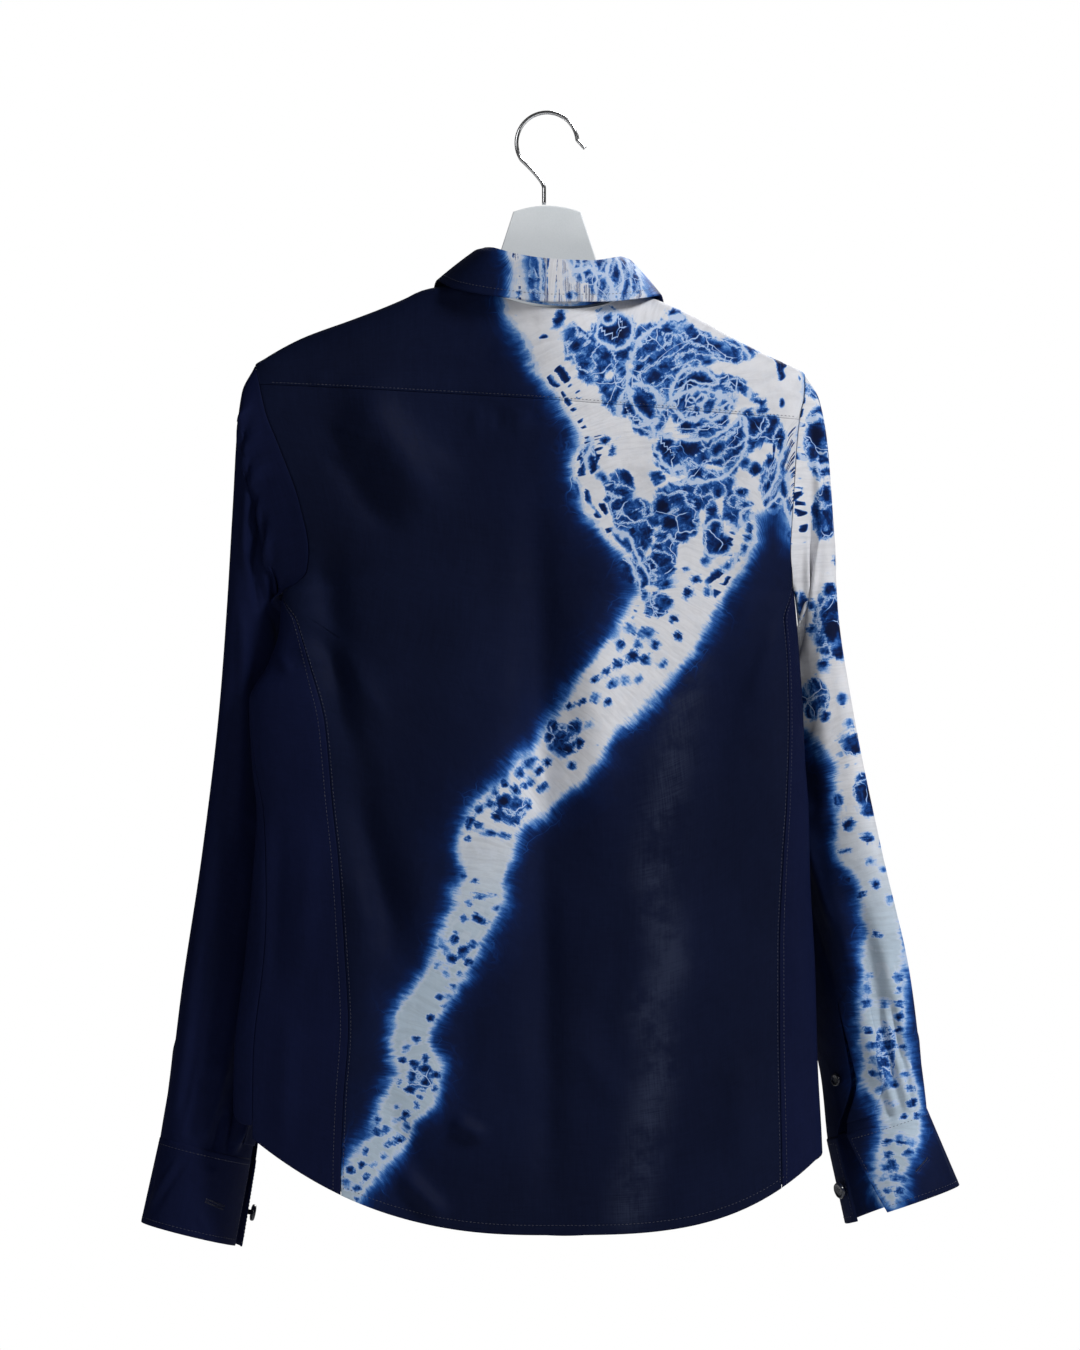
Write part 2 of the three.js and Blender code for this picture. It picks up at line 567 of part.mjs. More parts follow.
// Armhole seam by the angle round it: 0 at the shoulder, positive down the back, 180 underarm
function armholeSamples(side, onBack) {
  const points = steps(60).map((w) => {
    const z = mix(SHOULDER[side], UNDERARM[side], (1 - Math.cos(Math.PI * w)) / 2);
    return bodyAt(body[side](z), z, onBack);
  });
  const arc = [0];
  for (let i = 1; i < points.length; i++) arc.push(arc[i - 1] + points[i].distanceTo(points[i - 1]));
  return { points, arc: arc.map((d) => d / arc[arc.length - 1]) };
}
const armholes = Object.fromEntries(['left', 'right'].map((side) => [side,
  { back: armholeSamples(side, true), front: armholeSamples(side, false) }]));
function armholePoint(side, alpha) {
  const { points, arc } = armholes[side][alpha >= 0 ? 'back' : 'front'];
  const f = Math.min(1, Math.abs(alpha) / Math.PI);
  let i = 0;
  while (i < arc.length - 2 && f > arc[i + 1]) i++;
  return points[i].clone().lerp(points[i + 1], clamp((f - arc[i]) / (arc[i + 1] - arc[i])));
}
function alphaAtHeight(side, onBack, z) {
  const { points, arc } = armholes[side][onBack ? 'back' : 'front'];
  let i = 0;
  while (i < arc.length - 2 && z < points[i + 1].z) i++;
  const t = clamp((points[i].z - z) / (points[i].z - points[i + 1].z));
  return (onBack ? 1 : -1) * Math.PI * mix(arc[i], arc[i + 1], t);
}

// The sleeve's cloth: alpha round the arm as on the armhole, t from the armhole to the cuff
const sleeveCurves = Object.fromEntries(['left', 'right'].map((side) => [side,
  columnsOf({ columns: SLEEVE_COLUMNS, rows: SLEEVES[side] }, SLEEVE_COLUMNS.slice(1))]));
function sleeveRing(side, alpha, t) {
  const c = sleeveCurves[side];
  const over = V(c.ox(t), c.oy(t), c.oz(t));
  const under = V(c.ix(t), c.iy(t), c.iz(t));
  const centre = over.clone().add(under).multiplyScalar(0.5);
  const out = over.clone().sub(under).multiplyScalar(0.5);
  return centre.addScaledVector(out, Math.cos(alpha))
    .addScaledVector(V(c.bx(t), c.by(t), 0), Math.sin(alpha));
}
// The sleeve starts a little outward of the body's seam line, and further at the underarm. It
// follows the ring at once after START_BLEND of its length, and the cuff after END_BLEND.
const SLEEVE_START = { out: SEAM + 0.3, outUnder: SEAM + 1.5, up: -0.2, upUnder: 1.8, under: 0.55 };
const START_BLEND = 0.22;
const END_BLEND = 0.86;
const SLEEVE_END_GAP = SEAM + 0.3;
function sleevePoint(side, alpha, t) {
  const c = CUFFS[side];
  const wrapped = Math.atan2(Math.sin(alpha), Math.cos(alpha));
  const start = armholePoint(side, wrapped);
  const under = smooth(SLEEVE_START.under, 1, Math.abs(wrapped) / Math.PI);
  start.x += sideSign[side] * mix(SLEEVE_START.out, SLEEVE_START.outUnder, under);
  start.z += mix(SLEEVE_START.up, SLEEVE_START.upUnder, under);
  const atBody = start.sub(sleeveRing(side, alpha, 0));
  const wrist = cuffPoint(side, alpha > c.start * RAD ? alpha - 2 * Math.PI : alpha, 0);
  wrist.addScaledVector(vec(c.top).sub(vec(c.bottom)).normalize(), SLEEVE_END_GAP);
  const atCuff = wrist.sub(sleeveRing(side, alpha, 1));
  return sleeveRing(side, alpha, t)
    .addScaledVector(atBody, (1 - clamp(t / START_BLEND)) ** 2)
    .addScaledVector(atCuff, smooth(END_BLEND, 1, t));
}
// Angle of the placket slit's upper edge, and how far the slit is open, by t
const slitAngle = (side, t) => RAD * mix(CUFFS[side].slit, CUFFS[side].start, smooth(PLACKET.turn, 1, t));
function slitGap(side, t) {
  const atCuff = 360 + CUFFS[side].end - CUFFS[side].start;
  return atCuff * RAD * clamp((t - PLACKET.top) / (1 - PLACKET.top));
}
// The sleeve's columns at the armhole stand where the yoke's, back's, side's and front's rows end
function sleeveAlphas(side) {
  const z = (onBack, from, to, list) => list
    .map((w) => alphaAtHeight(side, onBack, mix(from, to, w)));
  const squares = (list) => list.map((s) => s * s);
  const back = [
    ...z(true, SHOULDER[side], armholeBackTop(side), squares(BACK_RISE)),
    ...z(true, armholeBackTop(side), PRINCESS_TOP[side], ARM_ROWS).slice(1),
    ...z(true, PRINCESS_TOP[side], UNDERARM[side], SIDE_COLS).slice(1),
  ];
  const front = [
    ...z(false, SHOULDER[side], armholeFrontTop(side), squares(FRONT_RISE)),
    ...z(false, armholeFrontTop(side), UNDERARM[side], ARM_ROWS).slice(1),
  ];
  return [...back.slice(0, -1), ...front.reverse().map((a) => a + 2 * Math.PI)];
}
// The sleeve's columns run from the slit round the arm and back to the slit
function sleeveColumns(side) {
  const slit = CUFFS[side].slit * RAD;
  const turned = sleeveAlphas(side).slice(0, -1).map((a) => (a - slit + 2 * Math.PI) % (2 * Math.PI));
  return [0, ...turned.filter((d) => d > 0).sort((p, q) => p - q), 2 * Math.PI];
}
function sleeveAngle(side, offset, t) {
  const slit = CUFFS[side].slit * RAD;
  const away = Math.min(offset, 2 * Math.PI - offset) / Math.PI;
  const opened = offset < Math.PI ? slitGap(side, t) * (1 - away) : 0;
  return slit + offset + (slitAngle(side, t) - slit) * (1 - away) + opened;
}
const SLEEVE_ROWS = [
  0, 0.02, 0.05, 0.09, 0.14, 0.19, 0.25, 0.31, 0.38, 0.45, 0.53, 0.61, 0.69, 0.76, 0.83, 0.89, 0.92,
  0.95, 0.975, 1,
];
const colourOf = { left: navy, right: dyed };
for (const side of ['left', 'right']) {
  const rows = grid(sleeveColumns(side), SLEEVE_ROWS,
    (offset, t) => sleevePoint(side, sleeveAngle(side, offset, t), t));
  add(`sleeve_${side}`, wall([{ rows, flip: side === 'right' }], CLOTH), colourOf[side]);
}

// Direction out of the sleeve's cloth
function sleeveNormal(side, alpha, t) {
  const round = sleevePoint(side, alpha + 0.02, t).sub(sleevePoint(side, alpha - 0.02, t));
  const along = sleevePoint(side, alpha, t + 0.005).sub(sleevePoint(side, alpha, t - 0.005));
  const n = round.cross(along).normalize();
  const inside = sleevePoint(side, alpha + Math.PI, t);
  return n.dot(sleevePoint(side, alpha, t).sub(inside)) < 0 ? n.negate() : n;
}
const onSleeve = (side, alpha, t, lift) => sleevePoint(side, alpha, t)
  .addScaledVector(sleeveNormal(side, alpha, t), lift);

// Placket strips: along the slit's upper edge, the last row drawn together to a point
const PLACKET_ROWS = [0.975, 0.95, 0.92, 0.89, 0.86, 0.83, 0.8, 0.785];
for (const side of ['left', 'right']) {
  const rows = grid(steps(4), PLACKET_ROWS, (u, t) => {
    const across = t === PLACKET_ROWS[PLACKET_ROWS.length - 1] ? 0.5 : u;
    const alpha = slitAngle(side, t) - PLACKET.width * RAD * (PLACKET.edge + across);
    return onSleeve(side, alpha, t, PLACKET.lift);
  });
  add(`placket_${side}`, wall([{ rows, flip: side === 'left' }], CLOTH, 0), colourOf[side]);
}

// Cuffs: open strips round the wrist, unbuttoned
function cuffPoint(side, angle, h) {
  const c = CUFFS[side];
  const centre = vec(c.top).lerp(vec(c.bottom), h);
  const out = vec(c.out).lerp(vec(c.outBottom), h);
  const back = vec(c.back).lerp(vec(c.backBottom), h);
  const along = (c.start - angle / RAD) / (c.start - c.end);
  const flare = mix(1, c.flare, smooth(FLARE_FROM, 1, along));
  return centre.addScaledVector(out, Math.cos(angle) * flare)
    .addScaledVector(back, Math.sin(angle) * flare);
}
for (const side of ['left', 'right']) {
  const c = CUFFS[side];
  const rows = grid(steps(26), steps(3), (u, h) => {
    const start = mix(c.start, c.startBottom, h);
    return cuffPoint(side, mix(start, c.end, u) * RAD, h);
  });
  add(`cuff_${side}`, wall([{ rows, flip: side === 'left' }], STIFF, 0), colourOf[side]);
}

// Collar: a stand on the neck seam and a leaf folded over it. The stand's columns are on the
// neck seam's.
const LAST_GAP = 5; // degrees kept free before the stand's end
function neckAngles(side) {
  const front = frontNeckEnd(side) / RAD;
  return [
    ...NECK_COLS.filter((a) => a > 0.5).map((a) => 180 * (a - 0.5)),
    ...FRONT_RISE.slice(1).map((q) => mix(90, YOKE_FRONT_ANGLE, q)),
    ...FRONT_NECK.slice(1).map((a) => mix(YOKE_FRONT_ANGLE, front, a)),
  ].filter((deg) => deg < COLLAR_OVERLAP - LAST_GAP);
}
const foldPoint = (deg) => V(leaf.fx(deg), leaf.fy(deg), leaf.fz(deg));
const edgePoint = (deg) => V(leaf.ex(deg), leaf.ey(deg), leaf.ez(deg));
const LEAF_END = 176; // degrees round the neck to each end of the leaf
const STAND_RISE = STIFF / 2 + 0.9; // the stand's lower edge above the neck seam
const STAND_PART = { from: 150, to: 172 }; // the stand's ends part in front, as the fronts do
function standPoint(deg, h) {
  const base = neckPoint(deg * RAD);
  base.z += STAND_RISE;
  const top = foldPoint(clampTo(deg, LEAF_END));
  top.z -= STAND_DROP;
  const p = base.lerp(top, h);
  p.y -= Math.sign(deg) * FRONT_LIFT * smooth(STAND_PART.from, STAND_PART.to, Math.abs(deg));
  return p;
}
const standAngles = [
  -COLLAR_OVERLAP, ...neckAngles('left').reverse().map((d) => -d), 0,
  ...neckAngles('right'), COLLAR_OVERLAP,
];
add('collar_stand', wall([{ rows: grid(standAngles, steps(3), standPoint) }], STIFF, 0), dyed);

// A point moved out of the body's cloth by at least a little room
function clearOfBody(p, room) {
  const side = p.x < NECK.x ? 'left' : 'right';
  if (p.z > slopeHeight(side, p.x)) return p;
  const y = bodyAt(p.x, p.z, p.y < 0).y;
  p.y = p.y < 0 ? Math.min(p.y, y - room) : Math.max(p.y, y + room);
  return p;
}
// The leaf rounds over its fold by a height, within a width, and keeps this much room
const LEAF_ROLL = { height: 3.4, width: 6, up: 0.3 };
const LEAF_ROOM = 4;
function leafPoint(deg, s) {
  const a = foldPoint(deg);
  const b = edgePoint(deg);
  const p = a.clone().lerp(b, s);
  const roll = LEAF_ROLL.height * smooth(0, LEAF_ROLL.width, s * a.distanceTo(b)) * (1 - s * s);
  p.addScaledVector(V(Math.sin(deg * RAD), -Math.cos(deg * RAD), LEAF_ROLL.up), roll);
  return clearOfBody(p, LEAF_ROOM);
}
const LEAF_ANGLES = [-LEAF_END, -166, -150, -135, -120, -105, -90, -75, -60, -45, -30, -15, 0];
const LEAF_ROWS = [1, 0.75, 0.5, 0.3, 0.14, 0.05, 0];
const leafColumns = [...LEAF_ANGLES, ...LEAF_ANGLES.slice(0, -1).reverse().map((d) => -d)];
add('collar_leaf', wall([{ rows: grid(leafColumns, LEAF_ROWS, leafPoint) }], STIFF, 0), dyed);

// Hanger: a flat board whose arms lie under the shoulder slopes
const BOARD = {
  top: { half: 27, z: -78, crown: 10 }, waist: { half: 38, z: -112 }, neck: { half: 44, z: -132 },
  room: 3.2, armFrom: 56, arm: { left: 214, right: 184 }, armDeep: 16, armBack: 2,
  under: { half: 80, z: -193, middle: -176 },
};
function hangerOutline() {
  const arm = (side) => steps(9).map((t) => {
    const x = sideSign[side] * mix(BOARD.armFrom, BOARD.arm[side], t);
    return [x, slopeHeight(side, x) - BOARD.room];
  });
  const [left, right] = [arm('left'), arm('right')];
  const [leftEnd, rightEnd] = [left[left.length - 1], right[right.length - 1]];
  const { top, waist, neck, under, armDeep, armBack } = BOARD;
  const outline = new THREE.Shape();
  outline.moveTo(-top.half, top.z);
  outline.quadraticCurveTo(0, top.z + top.crown, top.half, top.z);
  outline.lineTo(waist.half, waist.z);
  outline.quadraticCurveTo(neck.half, neck.z, ...right[0]);
  right.slice(1).forEach((p) => outline.lineTo(...p));
  outline.lineTo(rightEnd[0] - armBack, rightEnd[1] - armDeep);
  outline.quadraticCurveTo(under.half, under.z, 0, under.middle);
  outline.quadraticCurveTo(-under.half, under.z, leftEnd[0] + armBack, leftEnd[1] - armDeep);
  left.slice(1).reverse().forEach((p) => outline.lineTo(...p));
  outline.lineTo(...left[0]);
  outline.quadraticCurveTo(-neck.half, neck.z, -waist.half, waist.z);
  outline.closePath();
  return outline;
}
const boardGeometry = new THREE.ExtrudeGeometry(hangerOutline(), {
  depth: HANGER_THICKNESS, bevelEnabled: false, curveSegments: 8,
});
boardGeometry.rotateX(Math.PI / 2).translate(0, HANGER_THICKNESS / 2, 0);
add('hanger', boardGeometry, board);

// Hook: wire up from the board, through a bend, round the rail and out at the tip. Each part of
// the path ends at a share of its length.
const HOOK = {
  x: -2.4, foot: -72.2, stem: -59, bend: -53, from: 214, to: 6, tip: [30.4, 0, -27.2],
  stemEnd: 0.1, bendEnd: 0.36, arcEnd: 0.93,
};
class HookPath extends THREE.Curve {
  getPoint(t) {
    const arc = (deg) => V(Math.cos(deg * RAD), 0, Math.sin(deg * RAD)).multiplyScalar(HOOK_RADIUS)
      .add(V(0, 0, WIRE - HOOK_RADIUS));
    if (t < HOOK.stemEnd) return V(HOOK.x, 0, mix(HOOK.foot, HOOK.stem, t / HOOK.stemEnd));
    if (t < HOOK.bendEnd) {
      const w = (t - HOOK.stemEnd) / (HOOK.bendEnd - HOOK.stemEnd);
      const p = V(HOOK.x, 0, HOOK.stem).multiplyScalar((1 - w) ** 2);
      p.addScaledVector(V(HOOK.x, 0, HOOK.bend), 2 * w * (1 - w));
      return p.addScaledVector(arc(HOOK.from), w * w);
    }
    if (t < HOOK.arcEnd) {
      return arc(mix(HOOK.from, HOOK.to, (t - HOOK.bendEnd) / (HOOK.arcEnd - HOOK.bendEnd)));
    }
    return arc(HOOK.to).lerp(vec(HOOK.tip), (t - HOOK.arcEnd) / (1 - HOOK.arcEnd));
  }
}
function wireSection(radius, sides) {
  const s = new THREE.Shape();
  for (let i = 0; i < sides; i++) {
    const a = (2 * Math.PI * i) / sides;
    if (i === 0) s.moveTo(radius, 0);
    else s.lineTo(radius * Math.cos(a), radius * Math.sin(a));
  }
  s.closePath();
  return s;
}
add('hook', new THREE.ExtrudeGeometry(wireSection(WIRE, 8), {
  steps: 46, bevelEnabled: false, extrudePath: new HookPath(),
}), steel);

// Buttons: domed discs on a shank, placed on a point of the cloth and turned to face out of it
function buttonGeometry({ radius, thickness, shank }) {
  const profile = [
    [0, 0], [radius * 0.35, 0], [radius * 0.35, shank], [radius * 0.85, shank],
    [radius, shank + thickness * 0.4], [radius * 0.7, shank + thickness * 0.85], [0, shank + thickness],
  ].map(([r, y]) => new THREE.Vector2(r, y));
  return new THREE.LatheGeometry(profile, 10).rotateX(Math.PI / 2);
}
function addButton(name, at, out, size) {
  const button = add(name, buttonGeometry(size), buttonCloth);
  button.position.copy(at);
  button.quaternion.setFromUnitVectors(V(0, 0, 1), out);
}
for (let i = 0; i < FRONT_BUTTONS.count; i++) {
  const z = FRONT_BUTTONS.first - i * FRONT_BUTTONS.pitch;
  const at = bodyAt(FRONT_CENTRE, z, false, FRONT_LIFT + CLOTH / 2 + SEAM);
  addButton(`button_front_${i + 1}`, at, V(0, 1, 0), FRONT_BUTTONS);
}
for (const side of ['left', 'right']) {
  const h = CUFF_BUTTON.down;
  const angle = (CUFFS[side].end + CUFF_BUTTON.fromEnd) * RAD;
  const along = cuffPoint(side, angle + 3 * RAD, h).sub(cuffPoint(side, angle - 3 * RAD, h));
  const down = vec(CUFFS[side].bottom).sub(vec(CUFFS[side].top));
  const out = along.cross(down).normalize();
  if (out.dot(vec(CUFFS[side].out)) > 0) out.negate();
  const at = cuffPoint(side, angle, h).addScaledVector(out, STIFF / 2 + SEAM);
  addButton(`button_cuff_${side}`, at, out, CUFF_BUTTON);

  const { t, below } = PLACKET_BUTTON;
  const alpha = slitAngle(side, t) + slitGap(side, t) + below * RAD;
  const seat = onSleeve(side, alpha, t, CLOTH / 2 + SEAM + 0.2);
  addButton(`button_placket_${side}`, seat, sleeveNormal(side, alpha, t), PLACKET_BUTTON);
}

export default shirt;
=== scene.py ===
import math

import bpy
import numpy as np
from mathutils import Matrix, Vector


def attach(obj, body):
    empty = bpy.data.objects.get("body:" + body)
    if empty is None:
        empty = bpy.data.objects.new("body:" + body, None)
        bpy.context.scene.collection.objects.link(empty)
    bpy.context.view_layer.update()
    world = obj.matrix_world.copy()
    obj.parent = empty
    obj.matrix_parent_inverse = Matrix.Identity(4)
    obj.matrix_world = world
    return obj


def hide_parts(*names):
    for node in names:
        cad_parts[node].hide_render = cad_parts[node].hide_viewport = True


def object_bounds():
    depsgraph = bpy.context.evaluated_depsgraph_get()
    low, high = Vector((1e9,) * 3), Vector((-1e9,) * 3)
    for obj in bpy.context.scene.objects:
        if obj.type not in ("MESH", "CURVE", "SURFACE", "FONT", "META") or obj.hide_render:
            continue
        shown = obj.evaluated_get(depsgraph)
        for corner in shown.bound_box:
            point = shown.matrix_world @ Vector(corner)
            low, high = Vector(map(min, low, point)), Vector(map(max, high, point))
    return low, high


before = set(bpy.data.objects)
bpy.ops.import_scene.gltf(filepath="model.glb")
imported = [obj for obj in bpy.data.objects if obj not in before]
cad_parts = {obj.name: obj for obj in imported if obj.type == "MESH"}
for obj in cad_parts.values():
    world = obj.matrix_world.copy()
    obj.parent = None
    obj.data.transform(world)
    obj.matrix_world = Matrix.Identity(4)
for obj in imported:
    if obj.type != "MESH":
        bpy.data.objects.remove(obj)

cad_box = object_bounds()
MM = 0.001
RAD = math.pi / 180
SIDES = ("left", "right")
SIGN = {"left": -1, "right": 1}

# Thickness and sewing of the cloth
SEAM = 0.3  # gap between two pieces at a seam
CLOTH_ROOM = 1.2  # thickness of the solids' cloth, which sets how far pieces lie apart
CLOTH = 0.9  # thickness of the cloth that shows
STIFF = 1.8  # collar and cuffs
ALLOWANCE = dict(wide=7, sink=1.3, past=2.5, armhole=(7, 3.5, 1.2))  # cloth turned in behind the seams
STITCH = dict(pitch=3.1, length=2.2, width=0.55, height=0.3, first=0.6)
SEW = dict(beside=(2.2, -7.5), hem=8, yoke=2, button_edge=(3, 27), on_top=0.08)  # where stitches run
CUFF_SEW = dict(heights=(0.07, 0.93), edge=4)
LEAF_SEW = dict(share=0.84, end=3, out=0.1, up=0.3)
BUTTONHOLE = dict(from_middle=1.25, half=1.05, thread=0.24, up=0.34, down=0.3)

# Sizes of the shirt's body, as in the CAD solids
HALF_WIDTH, HALF_DEPTH = 213, 90  # turn a distance across the back, or round the side, into an angle
ARMHOLE_OPEN = 40
ARMHOLE_POWER = 0.6
NECK = dict(x=5.5, half=58.5, back_drop=20, front_drop=70, power=1.2)
NECK_BULGE = dict(width=62, back=(22, -330, -160), front=(24, -440, -205))
BACK_ROUND, FRONT_ROUND = 0.9, 1.15
FRONT_CENTRE, OVERLAP, FRONT_LIFT = 4, 15, 1.4
FRONT_YOKE_DROP, FRONT_YOKE_RISE, YOKE_FRONT_ANGLE = 30, 4, 128
YOKE_SEAM = (-229.5, -0.0664, -0.00004)
BACK_HEM = dict(low=-894, left=(76, 236, 2.45), right=(64, 221, 3.4))
FRONT_HEM = dict(low=-900, centre=14, rise=92, half=236, power=1.9)
NEAR_HEM = -850
SHOULDER = dict(left=-201, right=-209)
UNDERARM = dict(left=-382, right=-380)
NECK_POINT = dict(left=-133, right=-141)
PRINCESS_TOP = dict(left=-377, right=-362)
SIDE_SEAM = dict(left=-69, right=118)
SIDE_VENT = -808
SIDE_TURN = (-388, -680)
PRINCESS_TURN = -405
COLLAR_OVERLAP, LEAF_END, STAND_DROP = 184, 176, 4

# Body outline and depth by height: z, left, right, back, front
BODY = [
    (-904, -250, 222, 38, 38), (-831, -251, 220, 38, 38), (-754, -250, 216, 39, 39),
    (-682, -242, 214, 40, 40), (-608, -235, 210, 41, 41), (-558, -232, 209, 42, 42),
    (-516, -236, 206, 43, 43), (-469, -238, 204, 43, 43), (-440, -223, 202, 42, 42),
    (-414, -214, 200, 41, 42), (-382, -211, 197, 40, 41), (-376, -201, 196, 40, 41),
    (-366, -192, 195, 39, 41), (-350, -190, 194, 38, 40), (-312, -197, 196, 36, 38),
    (-265, -214, 199, 34, 36), (-240, -224, 202, 32, 34), (-228, -227, 205, 32, 33),
    (-209, -231, 206, 30, 31), (-201, -233, 194, 29, 30), (-196, -226, 182, 29, 29),
    (-180, -197, 150, 28, 28), (-164, -154, 121, 26, 26), (-156, -133, 105, 26, 26),
    (-148, -114, 86, 25, 25), (-141, -99, 64, 25, 25), (-133, -53, 46, 24, 24),
]
# Back princess seams: z, left, right
PRINCESS = [
    (-904, -164, 187), (-846, -164, 187), (-788, -162, 186), (-728, -158, 185), (-668, -161, 185),
    (-596, -166, 188), (-550, -171, 191), (-486, -177, 193), (-438, -190, 192), (-402, -201, 189),
]
# Large folds of the back, as in the solids: x0, z0, x1, z1, width, height
FOLDS = [
    (-166, -212, -88, -330, 28, 6), (-176, -330, -160, -480, 26, -5), (-162, -500, -106, -690, 26, -5),
    (2, -290, 2, -930, 27, -6), (176, -280, 184, -660, 28, 5), (-132, -800, -74, -900, 28, -4),
    (-28, -790, 44, -716, 30, 4), (-66, -330, -66, -640, 32, 4), (84, -500, 68, -930, 34, 4),
]
FOLD_FADE = (0.3, 0.6)
FINE = 1.5  # how much the finer creases stand out
EDGE_FADE = 2.2
# Sleeves: t, over-arm x y z, under-arm x y z, half depth towards the back x y
SLEEVES = dict(
    left=[
        (0.00, -233, 0, -201, -211, 0, -382, 14, -24), (0.04, -243, -2, -222, -221, 12, -391, -2, -21),
        (0.12, -248, -4, -262, -212, 32, -412, 2, -18), (0.22, -251, 0, -320, -213, 46, -440, 5, -18),
        (0.32, -255, 9, -390, -201, 62, -474, 8, -17), (0.46, -262, 19, -480, -192, 80, -530, 10, -16),
        (0.62, -275, 24, -590, -194, 86, -618, 12, -18), (0.78, -290, 24, -690, -212, 84, -706, 12, -22),
        (0.90, -301, 26, -770, -232, 78, -788, 8, -28), (1.00, -309, 34, -820, -240, 60, -838, 3, -32),
    ],
    right=[
        (0.00, 206, 0, -209, 197, 0, -380, 0, -25), (0.04, 217, -2, -228, 200, 8, -392, 2, -22),
        (0.12, 224, -4, -266, 202, 22, -414, 0, -20), (0.22, 228, 0, -322, 200, 42, -440, -5, -19),
        (0.32, 231, 6, -390, 194, 62, -474, -8, -18), (0.46, 244, 12, -478, 186, 80, -530, -10, -19),
        (0.62, 266, 16, -586, 190, 86, -616, -12, -21), (0.78, 289, 18, -686, 208, 82, -704, -12, -25),
        (0.90, 299, 24, -758, 224, 74, -778, -8, -31), (1.00, 303, 34, -798, 229, 58, -820, -2, -34),
    ],
)
# The sleeve starts closer to the armhole than its solid does, and ends just inside the cuff
SLEEVE_START = dict(out=0.2, out_under=0.4, up=0, up_under=0.3, under=0.55)
START_BLEND, END_BLEND, SLEEVE_END_GAP = 0.22, 0.86, -2.5
CUFFS = dict(
    left=dict(top=(-274.5, 47, -829.5), bottom=(-288, 47, -899), out=(-36, -13, 9.6),
              out_bottom=(-38, -10, 10), back=(3, -32, 0), back_bottom=(3, -35, 0),
              start=163, start_bottom=158, end=-188, flare=1.08, slit=163),
    right=dict(top=(266, 46, -809.5), bottom=(287, 46, -875), out=(38.5, -12, 13),
               out_bottom=(44.5, -8, 15.5), back=(-2, -34, 0), back_bottom=(-2, -38, 0),
               start=128, start_bottom=106, end=-219, flare=1.04, slit=98),
)
FLARE_FROM = 0.75
PLACKET = dict(width=32, top=0.8, turn=0.9, edge=0.03, lift=CLOTH_ROOM + 0.6, point=0.785, foot=0.975)
# Collar leaf by angle round the neck: angle, fold x y z, edge x y z
LEAF = [
    (-176, 1, 52, -176, -42, 62, -254), (-150, -22, 47, -163, -70, 54, -222),
    (-120, -42, 28, -131, -92, 38, -168), (-105, -47, 14, -116, -91, 19, -141),
    (-90, -49, 1, -107, -88, 2, -133.5), (-60, -43, -24, -108, -74, -31, -141),
    (-30, -23, -41, -114, -40, -47, -148), (0, 5, -47, -118, 4, -53, -152.5),
    (30, 33, -41, -119, 46, -47, -152), (60, 53, -24, -116, 79, -31, -148),
    (90, 59, 1, -114, 91, 2, -145), (105, 56, 14, -121, 94, 20, -154),
    (120, 52, 28, -134, 95, 38, -173), (150, 33, 47, -165, 76, 54, -226), (176, 9, 52, -176, 50, 62, -256),
]
LEAF_ROLL = dict(height=3.4, width=6, up=0.3)
LEAF_ROOM = 4
STAND_RISE = STIFF / 2 + 0.9
STAND_PART = (150, 172)
FRONT_BUTTONS = dict(first=-262, pitch=84, count=7, radius=5.5, thickness=2.6, shank=0.6)
CUFF_BUTTON = dict(radius=6.8, thickness=3.2, shank=2.4, down=0.6, from_end=9)
PLACKET_BUTTON = dict(radius=5, thickness=2.4, shank=0.6, t=0.9, below=18)
WIRE, HOOK_RADIUS = 1.6, 24.4
HOOK = dict(x=-2.4, foot=-72.2, stem=-59, bend=-53, start=214, end=6, tip=(30.4, 0, -27.2))
BOARD = dict(top=(27, -78, 10), waist=(38, -112), neck=(44, -132), room=3.2, arm_from=56,
             arm=dict(left=214, right=184), arm_deep=16, arm_back=2, under=(80, -193, -176),
             thickness=5, bevel=0.9)


def mix(a, b, t):
    return a + (b - a) * t


def smooth(start, end, x):
    t = np.clip((np.asarray(x, float) - start) / (end - start), 0, 1)
    return t * t * (3 - 2 * t)


def vec(*xyz):
    return np.stack(np.broadcast_arrays(*[np.asarray(v, float) for v in xyz]), -1)


def column(rows, k):
    """A smooth curve through column k of a table against its first column, without overshoot."""
    x = np.array([r[0] for r in rows], float)
    y = np.array([r[k] for r in rows], float)
    slope = np.diff(y) / np.diff(x)
    tangent = np.zeros_like(y)
    tangent[0], tangent[-1] = slope[0], slope[-1]
    a, b = slope[:-1], slope[1:]
    same = a * b > 0
    tangent[1:-1][same] = 2 / (1 / a[same] + 1 / b[same])

    def curve(at):
        at = np.asarray(at, float)
        i = np.clip(np.searchsorted(x, at) - 1, 0, len(x) - 2)
        h = x[i + 1] - x[i]
        t = np.clip((at - x[i]) / h, 0, 1)
        rise = (2 * t**3 - 3 * t**2 + 1) * y[i] + (3 * t**2 - 2 * t**3) * y[i + 1]
        return rise + (t**3 - 2 * t**2 + t) * h * tangent[i] + (t**3 - t**2) * h * tangent[i + 1]

    return curve


body = dict(left=column(BODY, 1), right=column(BODY, 2), back=column(BODY, 3), front=column(BODY, 4))
princess = dict(left=column(PRINCESS, 1), right=column(PRINCESS, 2))


# Creases

